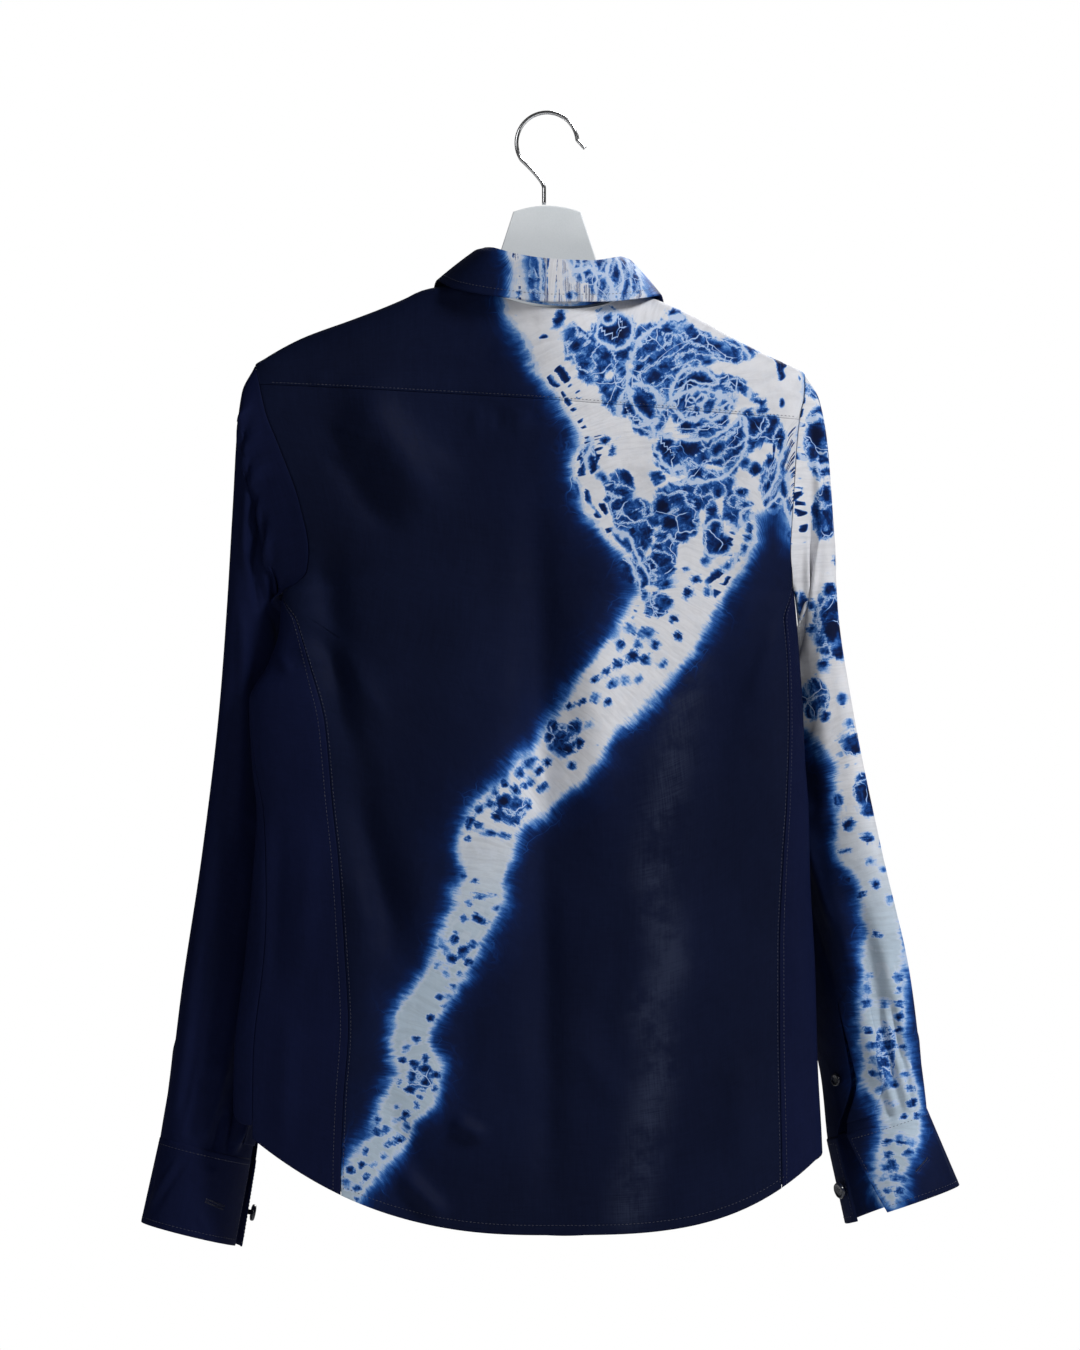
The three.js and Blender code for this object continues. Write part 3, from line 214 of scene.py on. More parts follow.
# Finer creases of the back, which the solids leave out: x0, z0, x1, z1, width, height
BACK_CREASES = [
    (-160, -208, -80, -330, 18, 5.6), (-186, -232, -112, -356, 15, -4.4), (-8, -262, -5, -640, 14, -5.0),
    (-5, -560, 2, -900, 13, -4.2), (44, -330, 40, -640, 20, 3.6),
    (-174, -248, -134, -268, 7, 1.8), (-182, -260, -142, -284, 7, 1.6), (-180, -320, -158, -540, 13, -5.0),
    (-162, -500, -112, -700, 13, -4.6),
    (-154, -600, -140, -660, 9, 2.0), (-122, -838, -77, -884, 7, 3.4), (-79, -800, -46, -819, 6, 2.8),
    (-16, -500, -2, -548, 4, 1.2), (-22, -508, -8, -556, 4, -1.0), (-217, -428, -204, -449, 4, 1.8),
    (-186, -219, -178, -206, 4, 1.2), (-160, -224, -154, -212, 4, 1.1),
    (-54, -231, -58, -262, 5, 1.0), (-38, -233, -40, -256, 4, -1.0), (-24, -233, -22, -262, 5, 1.0),
    (-12, -233, -8, -254, 4, -0.8), (18, -234, 22, -268, 6, 0.8), (-200, -420, -176, -446, 6, 1.8),
    (-196, -400, -150, -470, 8, -1.8), (-186, -392, -120, -500, 10, 2.0), (-178, -438, -130, -560, 10, -1.5),
    (-122, -840, -78, -886, 9, 2.2), (-78, -800, -46, -820, 8, 1.6), (-130, -780, -98, -850, 9, -1.6),
    (20, -740, 70, -800, 12, 1.6), (60, -640, 40, -760, 12, -1.4), (120, -560, 96, -700, 14, 1.6),
    (150, -420, 130, -560, 12, -1.4), (172, -330, 150, -420, 10, 1.6), (186, -400, 160, -470, 8, 1.5),
    (188, -380, 140, -500, 10, -1.4), (-30, -420, -46, -560, 16, 1.6), (24, -360, 34, -520, 14, 1.4),
    (-112, -560, -84, -700, 13, 1.6), (-150, -610, -140, -760, 12, 1.6), (-188, -560, -196, -700, 10, 1.4),
    (-214, -540, -218, -720, 8, -1.4), (-206, -700, -212, -840, 9, 1.4), (196, -560, 204, -760, 8, 1.3),
    (206, -700, 210, -850, 7, -1.2), (100, -800, 90, -900, 12, -1.4), (150, -740, 156, -860, 12, 1.5),
    (-10, -560, -4, -700, 12, -1.3), (-60, -700, -72, -800, 11, -1.4), (70, -270, 120, -330, 12, 1.2),
    (100, -250, 160, -300, 10, -1.1), (-100, -260, -70, -300, 9, 1.1), (40, -180, 110, -205, 9, 0.9),
    (-50, -180, -130, -206, 9, 0.9), (-24, -170, -60, -200, 7, -0.8), (30, -168, 70, -192, 7, -0.8),
]
# Creases of the hidden front, of the same kinds
FRONT_CREASES = [
    (-170, -250, -120, -330, 12, 2.4), (-182, -390, -120, -500, 12, 2.6), (-186, -420, -140, -560, 10, -2.2),
    (170, -260, 120, -340, 12, 2.4), (176, -390, 118, -500, 12, 2.6), (180, -420, 136, -560, 10, -2.0),
    (-90, -330, -84, -600, 24, 3.0), (-130, -560, -110, -800, 22, -3.0), (80, -330, 88, -620, 24, 3.0),
    (120, -560, 104, -820, 22, -3.0), (-60, -640, -70, -860, 16, 2.4), (56, -660, 66, -850, 16, 2.2),
    (-150, -700, -160, -830, 12, 2.0), (160, -700, 166, -830, 12, 2.0), (-30, -300, -44, -420, 12, -1.6),
    (36, -300, 46, -430, 12, -1.6), (-112, -262, -70, -330, 10, -1.6), (104, -262, 66, -334, 10, -1.6),
]
# Creases of the sleeves by angle from the over-arm line and share of the length:
# angle0, t0, angle1, t1, width, height
SLEEVE_CREASES = dict(
    left=[
        (112, 0.03, 146, 0.13, 4, 3.2), (100, 0.03, 136, 0.15, 4, -2.8), (90, 0.03, 126, 0.16, 5, 2.6),
        (26, 0.015, 30, 0.05, 2.6, 1.2), (38, 0.015, 42, 0.05, 2.6, -1.1), (50, 0.015, 54, 0.05, 2.6, 1.2),
        (62, 0.015, 66, 0.055, 2.6, -1.1), (74, 0.015, 78, 0.055, 2.8, 1.3), (86, 0.015, 88, 0.06, 2.8, -1.1),
        (112, 0.80, 114, 1.0, 3.5, -2.8), (122, 0.80, 124, 1.0, 3.5, 2.4), (96, 0.93, 96, 1.0, 2.6, -1.6),
        (60, 0.03, 40, 0.28, 8, 2.6), (95, 0.05, 62, 0.30, 7, -2.2), (128, 0.03, 84, 0.24, 8, 2.4),
        (30, 0.02, 22, 0.12, 5, 1.4), (46, 0.02, 40, 0.10, 4, -1.2), (76, 0.02, 70, 0.10, 4, 1.4),
        (40, 0.30, 52, 0.62, 9, 2.2), (110, 0.34, 60, 0.44, 8, 2.2), (130, 0.44, 70, 0.50, 7, -2.0),
        (120, 0.52, 60, 0.58, 8, 1.8), (70, 0.60, 84, 0.90, 9, 2.0), (100, 0.66, 108, 0.96, 8, -2.4),
        (36, 0.70, 44, 0.97, 8, -1.8), (124, 0.84, 122, 0.99, 6, 2.2), (84, 0.86, 80, 0.99, 5, 2.0),
        (60, 0.88, 62, 0.99, 5, -1.8), (-40, 0.05, -50, 0.30, 10, 2.2), (-90, 0.10, -70, 0.40, 10, -2.2),
        (-120, 0.36, -60, 0.46, 8, 2.2), (-110, 0.48, -50, 0.56, 8, -2.0), (-60, 0.60, -70, 0.95, 10, 2.2),
        (-100, 0.70, -96, 0.98, 8, -2.2), (-130, 0.80, -124, 0.99, 7, 2.2), (-30, 0.84, -34, 0.99, 6, 2.0),
    ],
    right=[
        (40, 0.80, 38, 1.0, 3.5, -2.8), (50, 0.80, 49, 1.0, 3.5, 2.4), (72, 0.92, 72, 1.0, 2.6, -1.6),
        (104, 0.26, 98, 0.60, 4, -2.4), (96, 0.52, 84, 0.72, 4, 2.0), (112, 0.60, 100, 0.80, 4, -2.0),
        (60, 0.03, 70, 0.30, 8, 2.4), (90, 0.04, 96, 0.34, 8, -2.2), (30, 0.02, 26, 0.14, 6, 1.6),
        (120, 0.05, 110, 0.26, 8, 2.2), (46, 0.02, 44, 0.10, 4, -1.2), (100, 0.28, 88, 0.66, 8, 2.6),
        (50, 0.34, 66, 0.60, 10, 2.0), (120, 0.40, 70, 0.46, 8, -1.8), (126, 0.52, 64, 0.57, 8, 1.8),
        (80, 0.62, 72, 0.94, 8, 2.2), (56, 0.66, 52, 0.96, 8, -2.2), (36, 0.72, 34, 0.97, 8, 2.0),
        (66, 0.86, 66, 0.99, 5, 2.2), (44, 0.88, 44, 0.99, 5, 2.0), (24, 0.88, 22, 0.99, 5, -1.8),
        (-40, 0.05, -50, 0.30, 10, 2.2), (-90, 0.10, -70, 0.40, 10, -2.2), (-120, 0.36, -60, 0.46, 8, 2.2),
        (-110, 0.48, -50, 0.56, 8, -2.0), (-60, 0.60, -70, 0.95, 10, 2.2), (-100, 0.70, -96, 0.98, 8, -2.2),
        (-130, 0.80, -124, 0.99, 7, 2.2), (-30, 0.84, -34, 0.99, 6, 2.0),
    ],
)
# Creases of the cuffs by angle and share of the height: angle0, h0, angle1, h1, width, height
CUFF_CREASES = dict(
    left=[(60, 0.1, 22, 0.85, 3.5, 1.7), (70, 0.1, 32, 0.85, 3, -1.2), (118, 0.98, 88, 0.7, 3, 1.5),
          (18, 0.35, 14, 0.95, 3, -1.1), (110, 0.2, 76, 0.36, 4, 1.2), (-60, 0.1, -90, 0.9, 4, 1.4)],
    right=[(60, 0.1, 72, 0.9, 4, 1.4), (44, 0.05, 40, 0.7, 3, -1.2), (20, 0.2, 26, 0.95, 4, 1.3),
           (84, 0.1, 96, 0.6, 3.5, -1.2), (-70, 0.1, -90, 0.9, 4, 1.4)],
)
CUFF_AROUND, CUFF_HIGH = 38, 70
SLEEVE_AROUND, SLEEVE_LONG = 45, 650  # radius and length that turn a crease's angle and t to millimetres


def creases(table, x, z, fade=FOLD_FADE):
    """Height of a table of soft ridges and troughs at x and z."""
    total = np.zeros(np.broadcast(x, z).shape)
    for x0, z0, x1, z1, width, height in table:
        dx, dz = x1 - x0, z1 - z0
        t = np.clip(((x - x0) * dx + (z - z0) * dz) / (dx * dx + dz * dz), 0, 1)
        d = np.hypot(x - x0 - t * dx, z - z0 - t * dz) / width
        total += height * smooth(0, fade[0], t) * smooth(1, fade[1], t) * np.exp(-d * d)
    return total


def sleeve_creases(side, alpha, t):
    around = np.degrees(np.arctan2(np.sin(alpha), np.cos(alpha))) * RAD * SLEEVE_AROUND
    rows = [
        (a0 * RAD * SLEEVE_AROUND, t0 * SLEEVE_LONG, a1 * RAD * SLEEVE_AROUND, t1 * SLEEVE_LONG, w, h)
        for a0, t0, a1, t1, w, h in SLEEVE_CREASES[side]
    ]
    return FINE * creases(rows, around, t * SLEEVE_LONG, (0.2, 0.8))


# Body surface

def spread(side, z):
    s = np.clip((SHOULDER[side] - z) / (SHOULDER[side] - UNDERARM[side]), 0, 1)
    open_by = np.sin(np.pi * s) ** ARMHOLE_POWER
    return np.where((s > 0) & (s < 1), np.cos(ARMHOLE_OPEN * RAD * open_by), 1.0)


def body_at(x, z, on_back, lift=0.0, fine=True):
    """The body's cloth at x and z, on the back where on_back is true and else on the front."""
    x, z, on_back = np.broadcast_arrays(x, z, on_back)
    half = (body["right"](z) - body["left"](z)) / (spread("left", z) + spread("right", z))
    centre = body["left"](z) + half * spread("left", z)
    c = np.sqrt(np.clip(1 - ((x - centre) / half) ** 2, 0, 1))
    across = np.exp(-(((x - NECK["x"]) / NECK_BULGE["width"]) ** 2))
    edge = np.minimum(1, c * EDGE_FADE)
    depth, low, high = NECK_BULGE["back"]
    folds = creases(FOLDS, x, z)
    if fine:
        folds = folds + FINE * creases(BACK_CREASES, x, z, (0.35, 0.65))
    back = -(body["back"](z) + depth * across * smooth(low, high, z)) * c**BACK_ROUND - folds * edge - lift
    depth, low, high = NECK_BULGE["front"]
    front = (body["front"](z) + depth * across * smooth(low, high, z)) * c**FRONT_ROUND + lift
    if fine:
        near = smooth(0, 30, np.abs(x - FRONT_CENTRE) - OVERLAP)
        front = front + creases(FRONT_CREASES, x, z, (0.35, 0.65)) * edge * near
    return vec(x, np.where(on_back, back, front), z)


def x_at(angle, z):
    middle = (body["left"](z) + body["right"](z)) / 2
    return middle + (body["right"](z) - body["left"](z)) / 2 * np.sin(angle)


def body_point(angle, z, lift=0.0):
    return body_at(x_at(angle, z), z, np.cos(angle) >= 0, lift)


def angle_at(x, z, on_back):
    middle = (body["left"](z) + body["right"](z)) / 2
    half = (body["right"](z) - body["left"](z)) / 2
    a = np.arcsin(np.clip((x - middle) / half, -1, 1))
    return np.where(on_back, a, np.where(a >= 0, np.pi - a, -np.pi - a))


def yoke_seam(x):
    return YOKE_SEAM[0] + YOKE_SEAM[1] * x + YOKE_SEAM[2] * x * x


def back_hem(x):
    left, right = BACK_HEM["left"], BACK_HEM["right"]
    rise = np.where(x < 0, left[0] * (np.abs(x) / left[1]) ** left[2],
                    right[0] * (np.abs(x) / right[1]) ** right[2])
    return BACK_HEM["low"] + rise


def front_hem(x):
    away = np.abs(x - FRONT_HEM["centre"]) / FRONT_HEM["half"]
    return FRONT_HEM["low"] + FRONT_HEM["rise"] * away ** FRONT_HEM["power"]


def hem_height(angle, hem):
    z = np.full(np.shape(angle), float(NEAR_HEM))
    for _ in range(12):
        z = hem(x_at(angle, z))
    return z


def neck_line(angle):
    """x, z and whether it is on the back, at an angle round the neck seam."""
    x = NECK["x"] + NECK["half"] * np.sin(angle)
    shoulder = mix(NECK_POINT["left"], NECK_POINT["right"], (np.sin(angle) + 1) / 2)
    c = np.cos(angle)
    drop = np.where(c > 0, NECK["back_drop"], NECK["front_drop"])
    return x, shoulder - drop * np.abs(c) ** NECK["power"], c >= 0


def slope_height(side, x):
    z = np.linspace(SHOULDER[side], NECK_POINT[side], 600)
    reach = body[side](z) * SIGN[side]
    return np.interp(-np.asarray(x, float) * SIGN[side], -reach, z)


def patch_between(bottom, top, left, right, reach=3.0):
    """Fills a patch between four borders, each a function from 0 to 1 that gives angle and height."""
    def at(u, v):
        result = []
        b, t, l, r = bottom(u), top(u), left(v), right(v)
        b0, t0, b1, t1 = (f(np.array([e])) for f, e in ((bottom, 0.0), (top, 0.0), (bottom, 1.0), (top, 1.0)))
        for k in range(2):
            low, high = b[k][None, :], t[k][None, :]
            inner = mix(low, high, v[:, None])
            at_left = l[k][:, None] - mix(b0[k], t0[k], v[:, None])
            at_right = r[k][:, None] - mix(b1[k], t1[k], v[:, None])
            result.append(inner + (1 - u[None, :]) ** reach * at_left + u[None, :] ** reach * at_right)
        return result
    return at


# Panels of the body

EDGE = math.pi / 2
HAIR = 1e-6  # keeps an edge point on the back or on the front
LOWER = 0.65  # share of a panel's rows from its hem to the underarm
NECK_FROM, NECK_TO = 0.35, 0.65
FRONT_SPLIT = 0.6
BACK_REACH = 4
NECK_X = {s: NECK["x"] + SIGN[s] * NECK["half"] for s in SIDES}
ARMHOLE_BACK_TOP = {s: float(yoke_seam(body[s](YOKE_SEAM[0]))) for s in SIDES}
ARMHOLE_FRONT_TOP = {s: SHOULDER[s] - FRONT_YOKE_DROP for s in SIDES}


def steps(n):
    return np.linspace(0, 1, n + 1)


def grid(us, vs):
    return np.meshgrid(np.asarray(us, float), np.asarray(vs, float))


def front_corner(side):
    x, z, _ = neck_line(np.array(SIGN[side] * YOKE_FRONT_ANGLE * RAD))
    return float(x), float(z)


def front_yoke_seam(side, x):
    inner_x, inner_z = front_corner(side)
    outer_x = float(body[side](ARMHOLE_FRONT_TOP[side]))
    t = np.clip((x - inner_x) / (outer_x - inner_x), 0, 1)
    return mix(inner_z, ARMHOLE_FRONT_TOP[side], t) + FRONT_YOKE_RISE * np.sin(np.pi * t)


def shoulder_patch(side, columns, rise):
    """Yoke over one shoulder: a from the armhole to the neck, q from the back seam to the front one."""
    a, q = grid(columns, np.concatenate([-1 + rise, rise[1:]]))
    on_back = q <= 0
    s = q * q
    edge, neck_x = float(body[side](SHOULDER[side])), NECK_X[side]
    xr = mix(edge, neck_x, a)
    zr = slope_height(side, xr)
    end = np.where(on_back, ARMHOLE_BACK_TOP[side], ARMHOLE_FRONT_TOP[side])
    end_x = body[side](end)
    inner = np.where(on_back, neck_x, front_corner(side)[0])
    xs = mix(end_x, inner, a)
    seam = np.where(on_back, yoke_seam(xs), front_yoke_seam(side, xs))
    x, z = mix(xr, xs, s), mix(zr, seam, s)
    # The armhole and the neck keep to their own lines, which bend the rows near them
    hole_z = mix(SHOULDER[side], end, s)
    start_z = mix(SHOULDER[side], np.where(on_back, yoke_seam(end_x), front_yoke_seam(side, end_x)), s)
    near = (1 - a) ** 6
    x = x + near * (body[side](hole_z) - mix(edge, end_x, s))
    z = z + near * (hole_z - start_z)
    angle = SIGN[side] * mix(90, YOKE_FRONT_ANGLE, np.clip(q, 0, 1)) * RAD
    line_x, line_z, _ = neck_line(angle)
    seam_in = front_yoke_seam(side, np.full(q.shape, front_corner(side)[0]))
    near = np.where(on_back, 0, a**6)
    x = x + near * (line_x - mix(neck_x, front_corner(side)[0], s))
    z = z + near * (line_z - mix(NECK_POINT[side], seam_in, s))
    return body_at(x, z, on_back)


def yoke_back_patch(columns, rise):
    a, v = grid(columns, rise)
    x, z, _ = neck_line(mix(-EDGE, EDGE, a))
    return body_at(x, mix(z, yoke_seam(x), (1 - v) ** 2), np.full(x.shape, True))


def side_angle(side, z):
    return RAD * mix(SIGN[side] * 90, SIDE_SEAM[side], smooth(*SIDE_TURN, z))


def princess_angle(side, z):
    top = SIGN[side] * (EDGE - HAIR)
    return mix(angle_at(princess[side](z), z, True), top, smooth(PRINCESS_TURN, PRINCESS_TOP[side], z))


def armhole_border(side, on_back, start, end):
    edge = SIGN[side] * (EDGE - HAIR if on_back else EDGE + HAIR)
    return lambda w: (np.full(np.shape(w), edge), mix(start, end, w))


def princess_border(side):
    bottom = float(back_hem(princess[side](NEAR_HEM)))

    def border(w):
        z = mix(bottom, PRINCESS_TOP[side], w)
        return princess_angle(side, z), z
    return border


def side_border(side, bottom=None):
    if bottom is None:
        hem = back_hem if side == "left" else front_hem
        bottom = float(hem_height(np.array([SIDE_SEAM[side] * RAD]), hem)[0])

    def border(w):
        z = mix(bottom, UNDERARM[side], w)
        return side_angle(side, z), z
    return border


def joined(lower, upper):
    def border(v):
        low = lower(np.clip(v / LOWER, 0, 1))
        high = upper(np.clip((v - LOWER) / (1 - LOWER), 0, 1))
        return tuple(np.where(v <= LOWER, low[k], high[k]) for k in (0, 1))
    return border


def back_top(u):
    left, right = (float(body[s](ARMHOLE_BACK_TOP[s])) for s in SIDES)
    neck = neck_line(mix(-EDGE, EDGE, np.clip((u - NECK_FROM) / (NECK_TO - NECK_FROM), 0, 1)))[0]
    outer = np.where(u < NECK_FROM, mix(left, NECK_X["left"], u / NECK_FROM),
                     mix(NECK_X["right"], right, (u - NECK_TO) / (1 - NECK_TO)))
    x = np.where((u < NECK_FROM) | (u > NECK_TO), outer, neck)
    z = yoke_seam(x)
    z = np.where(u <= 0, ARMHOLE_BACK_TOP["left"], np.where(u >= 1, ARMHOLE_BACK_TOP["right"], z))
    return np.clip(angle_at(x, z, True), HAIR - EDGE, EDGE - HAIR), z


def back_bottom(u):
    start, end = (princess_border(s)(np.zeros(1))[0][0] for s in SIDES)
    a = mix(start, end, u)
    return a, hem_height(a, back_hem)


def back_panel(us, vs):
    left, right = (joined(princess_border(s), armhole_border(s, True, PRINCESS_TOP[s], ARMHOLE_BACK_TOP[s]))
                   for s in SIDES)
    a, z = patch_between(back_bottom, back_top, left, right, BACK_REACH)(us, vs)
    return body_point(a, z)


def side_panel(side, us, vs):
    inner, outer = princess_border(side), side_border(side)
    start, end = inner(np.zeros(1)), outer(np.zeros(1))

    def bottom(u):
        a = mix(start[0], end[0], u)
        past = np.clip((np.abs(a) - EDGE) / max(1e-6, abs(end[0][0]) - EDGE), 0, 1)
        z = mix(hem_height(np.sign(a) * np.minimum(np.abs(a), EDGE), back_hem), end[1], past)
        return a, z
    top = armhole_border(side, True, PRINCESS_TOP[side], UNDERARM[side])
    a, z = patch_between(bottom, top, inner, outer, 1)(us, vs)
    return body_point(a, z)


def front_angle(side, x, z):
    middle = (body["left"](z) + body["right"](z)) / 2
    half = (body["right"](z) - body["left"](z)) / 2
    return SIGN[side] * np.pi - np.arcsin(np.clip((x - middle) / half, -1, 1))


FRONT_EDGE = {s: FRONT_CENTRE - SIGN[s] * OVERLAP for s in SIDES}
FRONT_NECK_END = {
    s: math.pi - math.asin((FRONT_EDGE[s] - NECK["x"]) / NECK["half"]) * SIGN[s] for s in SIDES
}


def front_panel(side, us, vs):
    sign, edge_x = SIGN[side], FRONT_EDGE[side]
    hole = armhole_border(side, False, UNDERARM[side], ARMHOLE_FRONT_TOP[side])
    outer = joined(side_border(side, SIDE_VENT), hole)

    def top(u):
        outer_x = float(body[side](ARMHOLE_FRONT_TOP[side]))
        xs = mix(outer_x, front_corner(side)[0], np.clip(u / FRONT_SPLIT, 0, 1))
        zs = front_yoke_seam(side, xs)
        past = np.clip((u - FRONT_SPLIT) / (1 - FRONT_SPLIT), 0, 1)
        xn, zn, _ = neck_line(sign * mix(YOKE_FRONT_ANGLE * RAD, FRONT_NECK_END[side], past))
        x, z = np.where(u <= FRONT_SPLIT, xs, xn), np.where(u <= FRONT_SPLIT, zs, zn)
        return front_angle(side, x, z), z

    corner = outer(np.zeros(1))
    end_z = float(front_hem(edge_x))
    end_a = float(front_angle(side, edge_x, end_z))
    top_z = float(top(np.ones(1))[1][0])

    def bottom(u):
        a = mix(corner[0], end_a, u)
        return a, mix(corner[1], hem_height(a, front_hem), smooth(0, 0.35, u))

    def inner(v):
        z = mix(end_z, top_z, v)
        return front_angle(side, edge_x, z), z

    a, z = patch_between(bottom, top, outer, inner)(us, vs)
    part = (FRONT_LIFT if side == "left" else -FRONT_LIFT) * smooth(0.7, 0.9, us)[None, :]
    return body_point(a, z, np.where(np.abs(a) > EDGE, part, 0))


# Cloth turned in behind the seams

def armhole_strip(side, on_back):
    top = (ARMHOLE_BACK_TOP if on_back else ARMHOLE_FRONT_TOP)[side] + 12
    k, z = grid(ALLOWANCE["armhole"], mix(UNDERARM[side] + 2, min(top, SHOULDER[side] - 3), steps(70)))
    p = body_at(body[side](z) - SIGN[side] * k, z, np.full(z.shape, on_back))
    p[..., 1] += ALLOWANCE["sink"] * (1 if on_back else -1)
    past = p[:, 2:] + unit(p[:, 2:] - p[:, 1:2]) * (ALLOWANCE["past"] + ALLOWANCE["armhole"][2])
    return np.concatenate([p, past], 1)


def princess_strip(side):
    low = float(back_hem(princess[side](NEAR_HEM))) + 3
    off, z = grid(mix(-1, 1, steps(4)), mix(low, PRINCESS_TOP[side] - 4, steps(110)))
    a = princess_angle(side, z) + off * ALLOWANCE["wide"] / HALF_WIDTH
    return body_point(np.clip(a, -EDGE + HAIR, EDGE - HAIR), z, -ALLOWANCE["sink"])


def side_strip(side):
    off, z = grid(mix(-1, 1, steps(4)), mix(SIDE_VENT + 4, UNDERARM[side] - 4, steps(90)))
    a = side_angle(side, z) + off * ALLOWANCE["wide"] / HALF_DEPTH
    p = body_point(a, z)
    return p * np.array([1, 0.95, 1]) - np.array([SIGN[side] * ALLOWANCE["sink"] * 0.6, 0, 0])


def yoke_strip():
    left, right = (float(body[s](ARMHOLE_BACK_TOP[s])) for s in SIDES)
    x, off = grid(mix(left + 5, right - 5, steps(120)), mix(-1, 1, steps(3)))
    return body_at(x, yoke_seam(x) + off * ALLOWANCE["wide"], np.full(x.shape, True), -ALLOWANCE["sink"])


# Sleeves and cuffs

def armhole_arc(side, on_back):
    w = steps(240)
    z = mix(SHOULDER[side], UNDERARM[side], (1 - np.cos(np.pi * w)) / 2)
    points = body_at(body[side](z), z, np.full(z.shape, on_back), fine=False)
    arc = np.concatenate([[0], np.cumsum(np.linalg.norm(np.diff(points, axis=0), axis=1))])
    return points, arc / arc[-1]


ARMHOLES = {s: {b: armhole_arc(s, b) for b in (True, False)} for s in SIDES}


def armhole_point(side, alpha):
    f = np.clip(np.abs(alpha) / np.pi, 0, 1)
    both = []
    for on_back in (True, False):
        points, arc = ARMHOLES[side][on_back]
        both.append(np.stack([np.interp(f, arc, points[:, k]) for k in range(3)], -1))
    return np.where((alpha >= 0)[..., None], both[0], both[1])


sleeve_curves = {s: [column(SLEEVES[s], k) for k in range(1, 9)] for s in SIDES}


def sleeve_ring(side, alpha, t):
    ox, oy, oz, ix, iy, iz, bx, by = (c(t) for c in sleeve_curves[side])
    over, under = vec(ox, oy, oz), vec(ix, iy, iz)
    return ((over + under) / 2 + (over - under) / 2 * np.cos(alpha)[..., None]
            + vec(bx, by, np.zeros_like(bx)) * np.sin(alpha)[..., None])


def cuff_point(side, angle, h):
    c = CUFFS[side]

    def between(a, b):
        a, b = np.array(a, float), np.array(b, float)
        return a + (b - a) * np.asarray(h, float)[..., None]
    along = (c["start"] - angle / RAD) / (c["start"] - c["end"])
    flare = mix(1, c["flare"], smooth(FLARE_FROM, 1, along))[..., None]
    out = between(c["out"], c["out_bottom"]) * np.cos(angle)[..., None] * flare
    back = between(c["back"], c["back_bottom"]) * np.sin(angle)[..., None] * flare
    return between(c["top"], c["bottom"]) + out + back


def cuff_cloth(side, deg, h, lift=0.0):
    """The cuff's cloth with its creases, and the way that it faces."""
    deg, h = np.broadcast_arrays(np.asarray(deg, float), np.asarray(h, float))
    at = cuff_point(side, deg * RAD, h)
    middle = (cuff_point(side, np.zeros(h.shape), h) + cuff_point(side, np.full(h.shape, math.pi), h)) / 2
    out = (at - middle) * np.array([1, 1, 0])
    out = out / np.linalg.norm(out, axis=-1, keepdims=True)
    rows = [(a0 * RAD * CUFF_AROUND, h0 * CUFF_HIGH, a1 * RAD * CUFF_AROUND, h1 * CUFF_HIGH, wide, high)
            for a0, h0, a1, h1, wide, high in CUFF_CREASES[side]]
    rise = creases(rows, deg * RAD * CUFF_AROUND, h * CUFF_HIGH, (0.3, 0.7)) + lift
    return at + out * rise[..., None], out


def sleeve_base(side, alpha, t):
    alpha, t = np.broadcast_arrays(np.asarray(alpha, float), np.asarray(t, float))
    c, start = CUFFS[side], SLEEVE_START
    wrapped = np.arctan2(np.sin(alpha), np.cos(alpha))
    at_body = armhole_point(side, wrapped)
    under = smooth(start["under"], 1, np.abs(wrapped) / np.pi)
    at_body[..., 0] += SIGN[side] * mix(start["out"], start["out_under"], under)
    at_body[..., 2] += mix(start["up"], start["up_under"], under)
    at_body = at_body - sleeve_ring(side, alpha, np.zeros_like(t))
    turned = np.where(alpha > c["start"] * RAD, alpha - 2 * np.pi, alpha)
    up = np.array(c["top"], float) - np.array(c["bottom"], float)
    at_cuff = cuff_point(side, turned, np.zeros_like(t)) + up / np.linalg.norm(up) * SLEEVE_END_GAP
    at_cuff = at_cuff - sleeve_ring(side, alpha, np.ones_like(t))
    return (sleeve_ring(side, alpha, t) + at_body * ((1 - np.clip(t / START_BLEND, 0, 1)) ** 2)[..., None]
            + at_cuff * smooth(END_BLEND, 1, t)[..., None])


def sleeve_normal(side, alpha, t):
    d = 0.02
    around = sleeve_base(side, alpha + d, t) - sleeve_base(side, alpha - d, t)
    along = sleeve_base(side, alpha, t + 0.005) - sleeve_base(side, alpha, t - 0.005)
    n = np.cross(around, along)
    n = n / np.maximum(1e-9, np.linalg.norm(n, axis=-1, keepdims=True))
    across = sleeve_base(side, alpha, t) - sleeve_base(side, alpha + np.pi, t)
    return np.where((np.sum(n * across, -1) < 0)[..., None], -n, n)


def sleeve_point(side, alpha, t, lift=0.0):
    """The sleeve's cloth with its creases: alpha round the arm, t from the armhole to the cuff."""
    alpha, t = np.broadcast_arrays(np.asarray(alpha, float), np.asarray(t, float))
    rise = sleeve_creases(side, alpha, t) * smooth(0, 0.035, t) * smooth(1, 0.985, t) + lift
    return sleeve_base(side, alpha, t) + sleeve_normal(side, alpha, t) * rise[..., None]


def slit_angle(side, t):
    c = CUFFS[side]
    return RAD * mix(c["slit"], c["start"], smooth(PLACKET["turn"], 1, t))


def slit_gap(side, t):
    at_cuff = 360 + CUFFS[side]["end"] - CUFFS[side]["start"]
    return at_cuff * RAD * np.clip((t - PLACKET["top"]) / (1 - PLACKET["top"]), 0, 1)


def sleeve_angle(side, offset, t):
    slit = CUFFS[side]["slit"] * RAD
    away = np.minimum(offset, 2 * np.pi - offset) / np.pi
    opened = np.where(offset < np.pi, slit_gap(side, t) * (1 - away), 0)
    return slit + offset + (slit_angle(side, t) - slit) * (1 - away) + opened


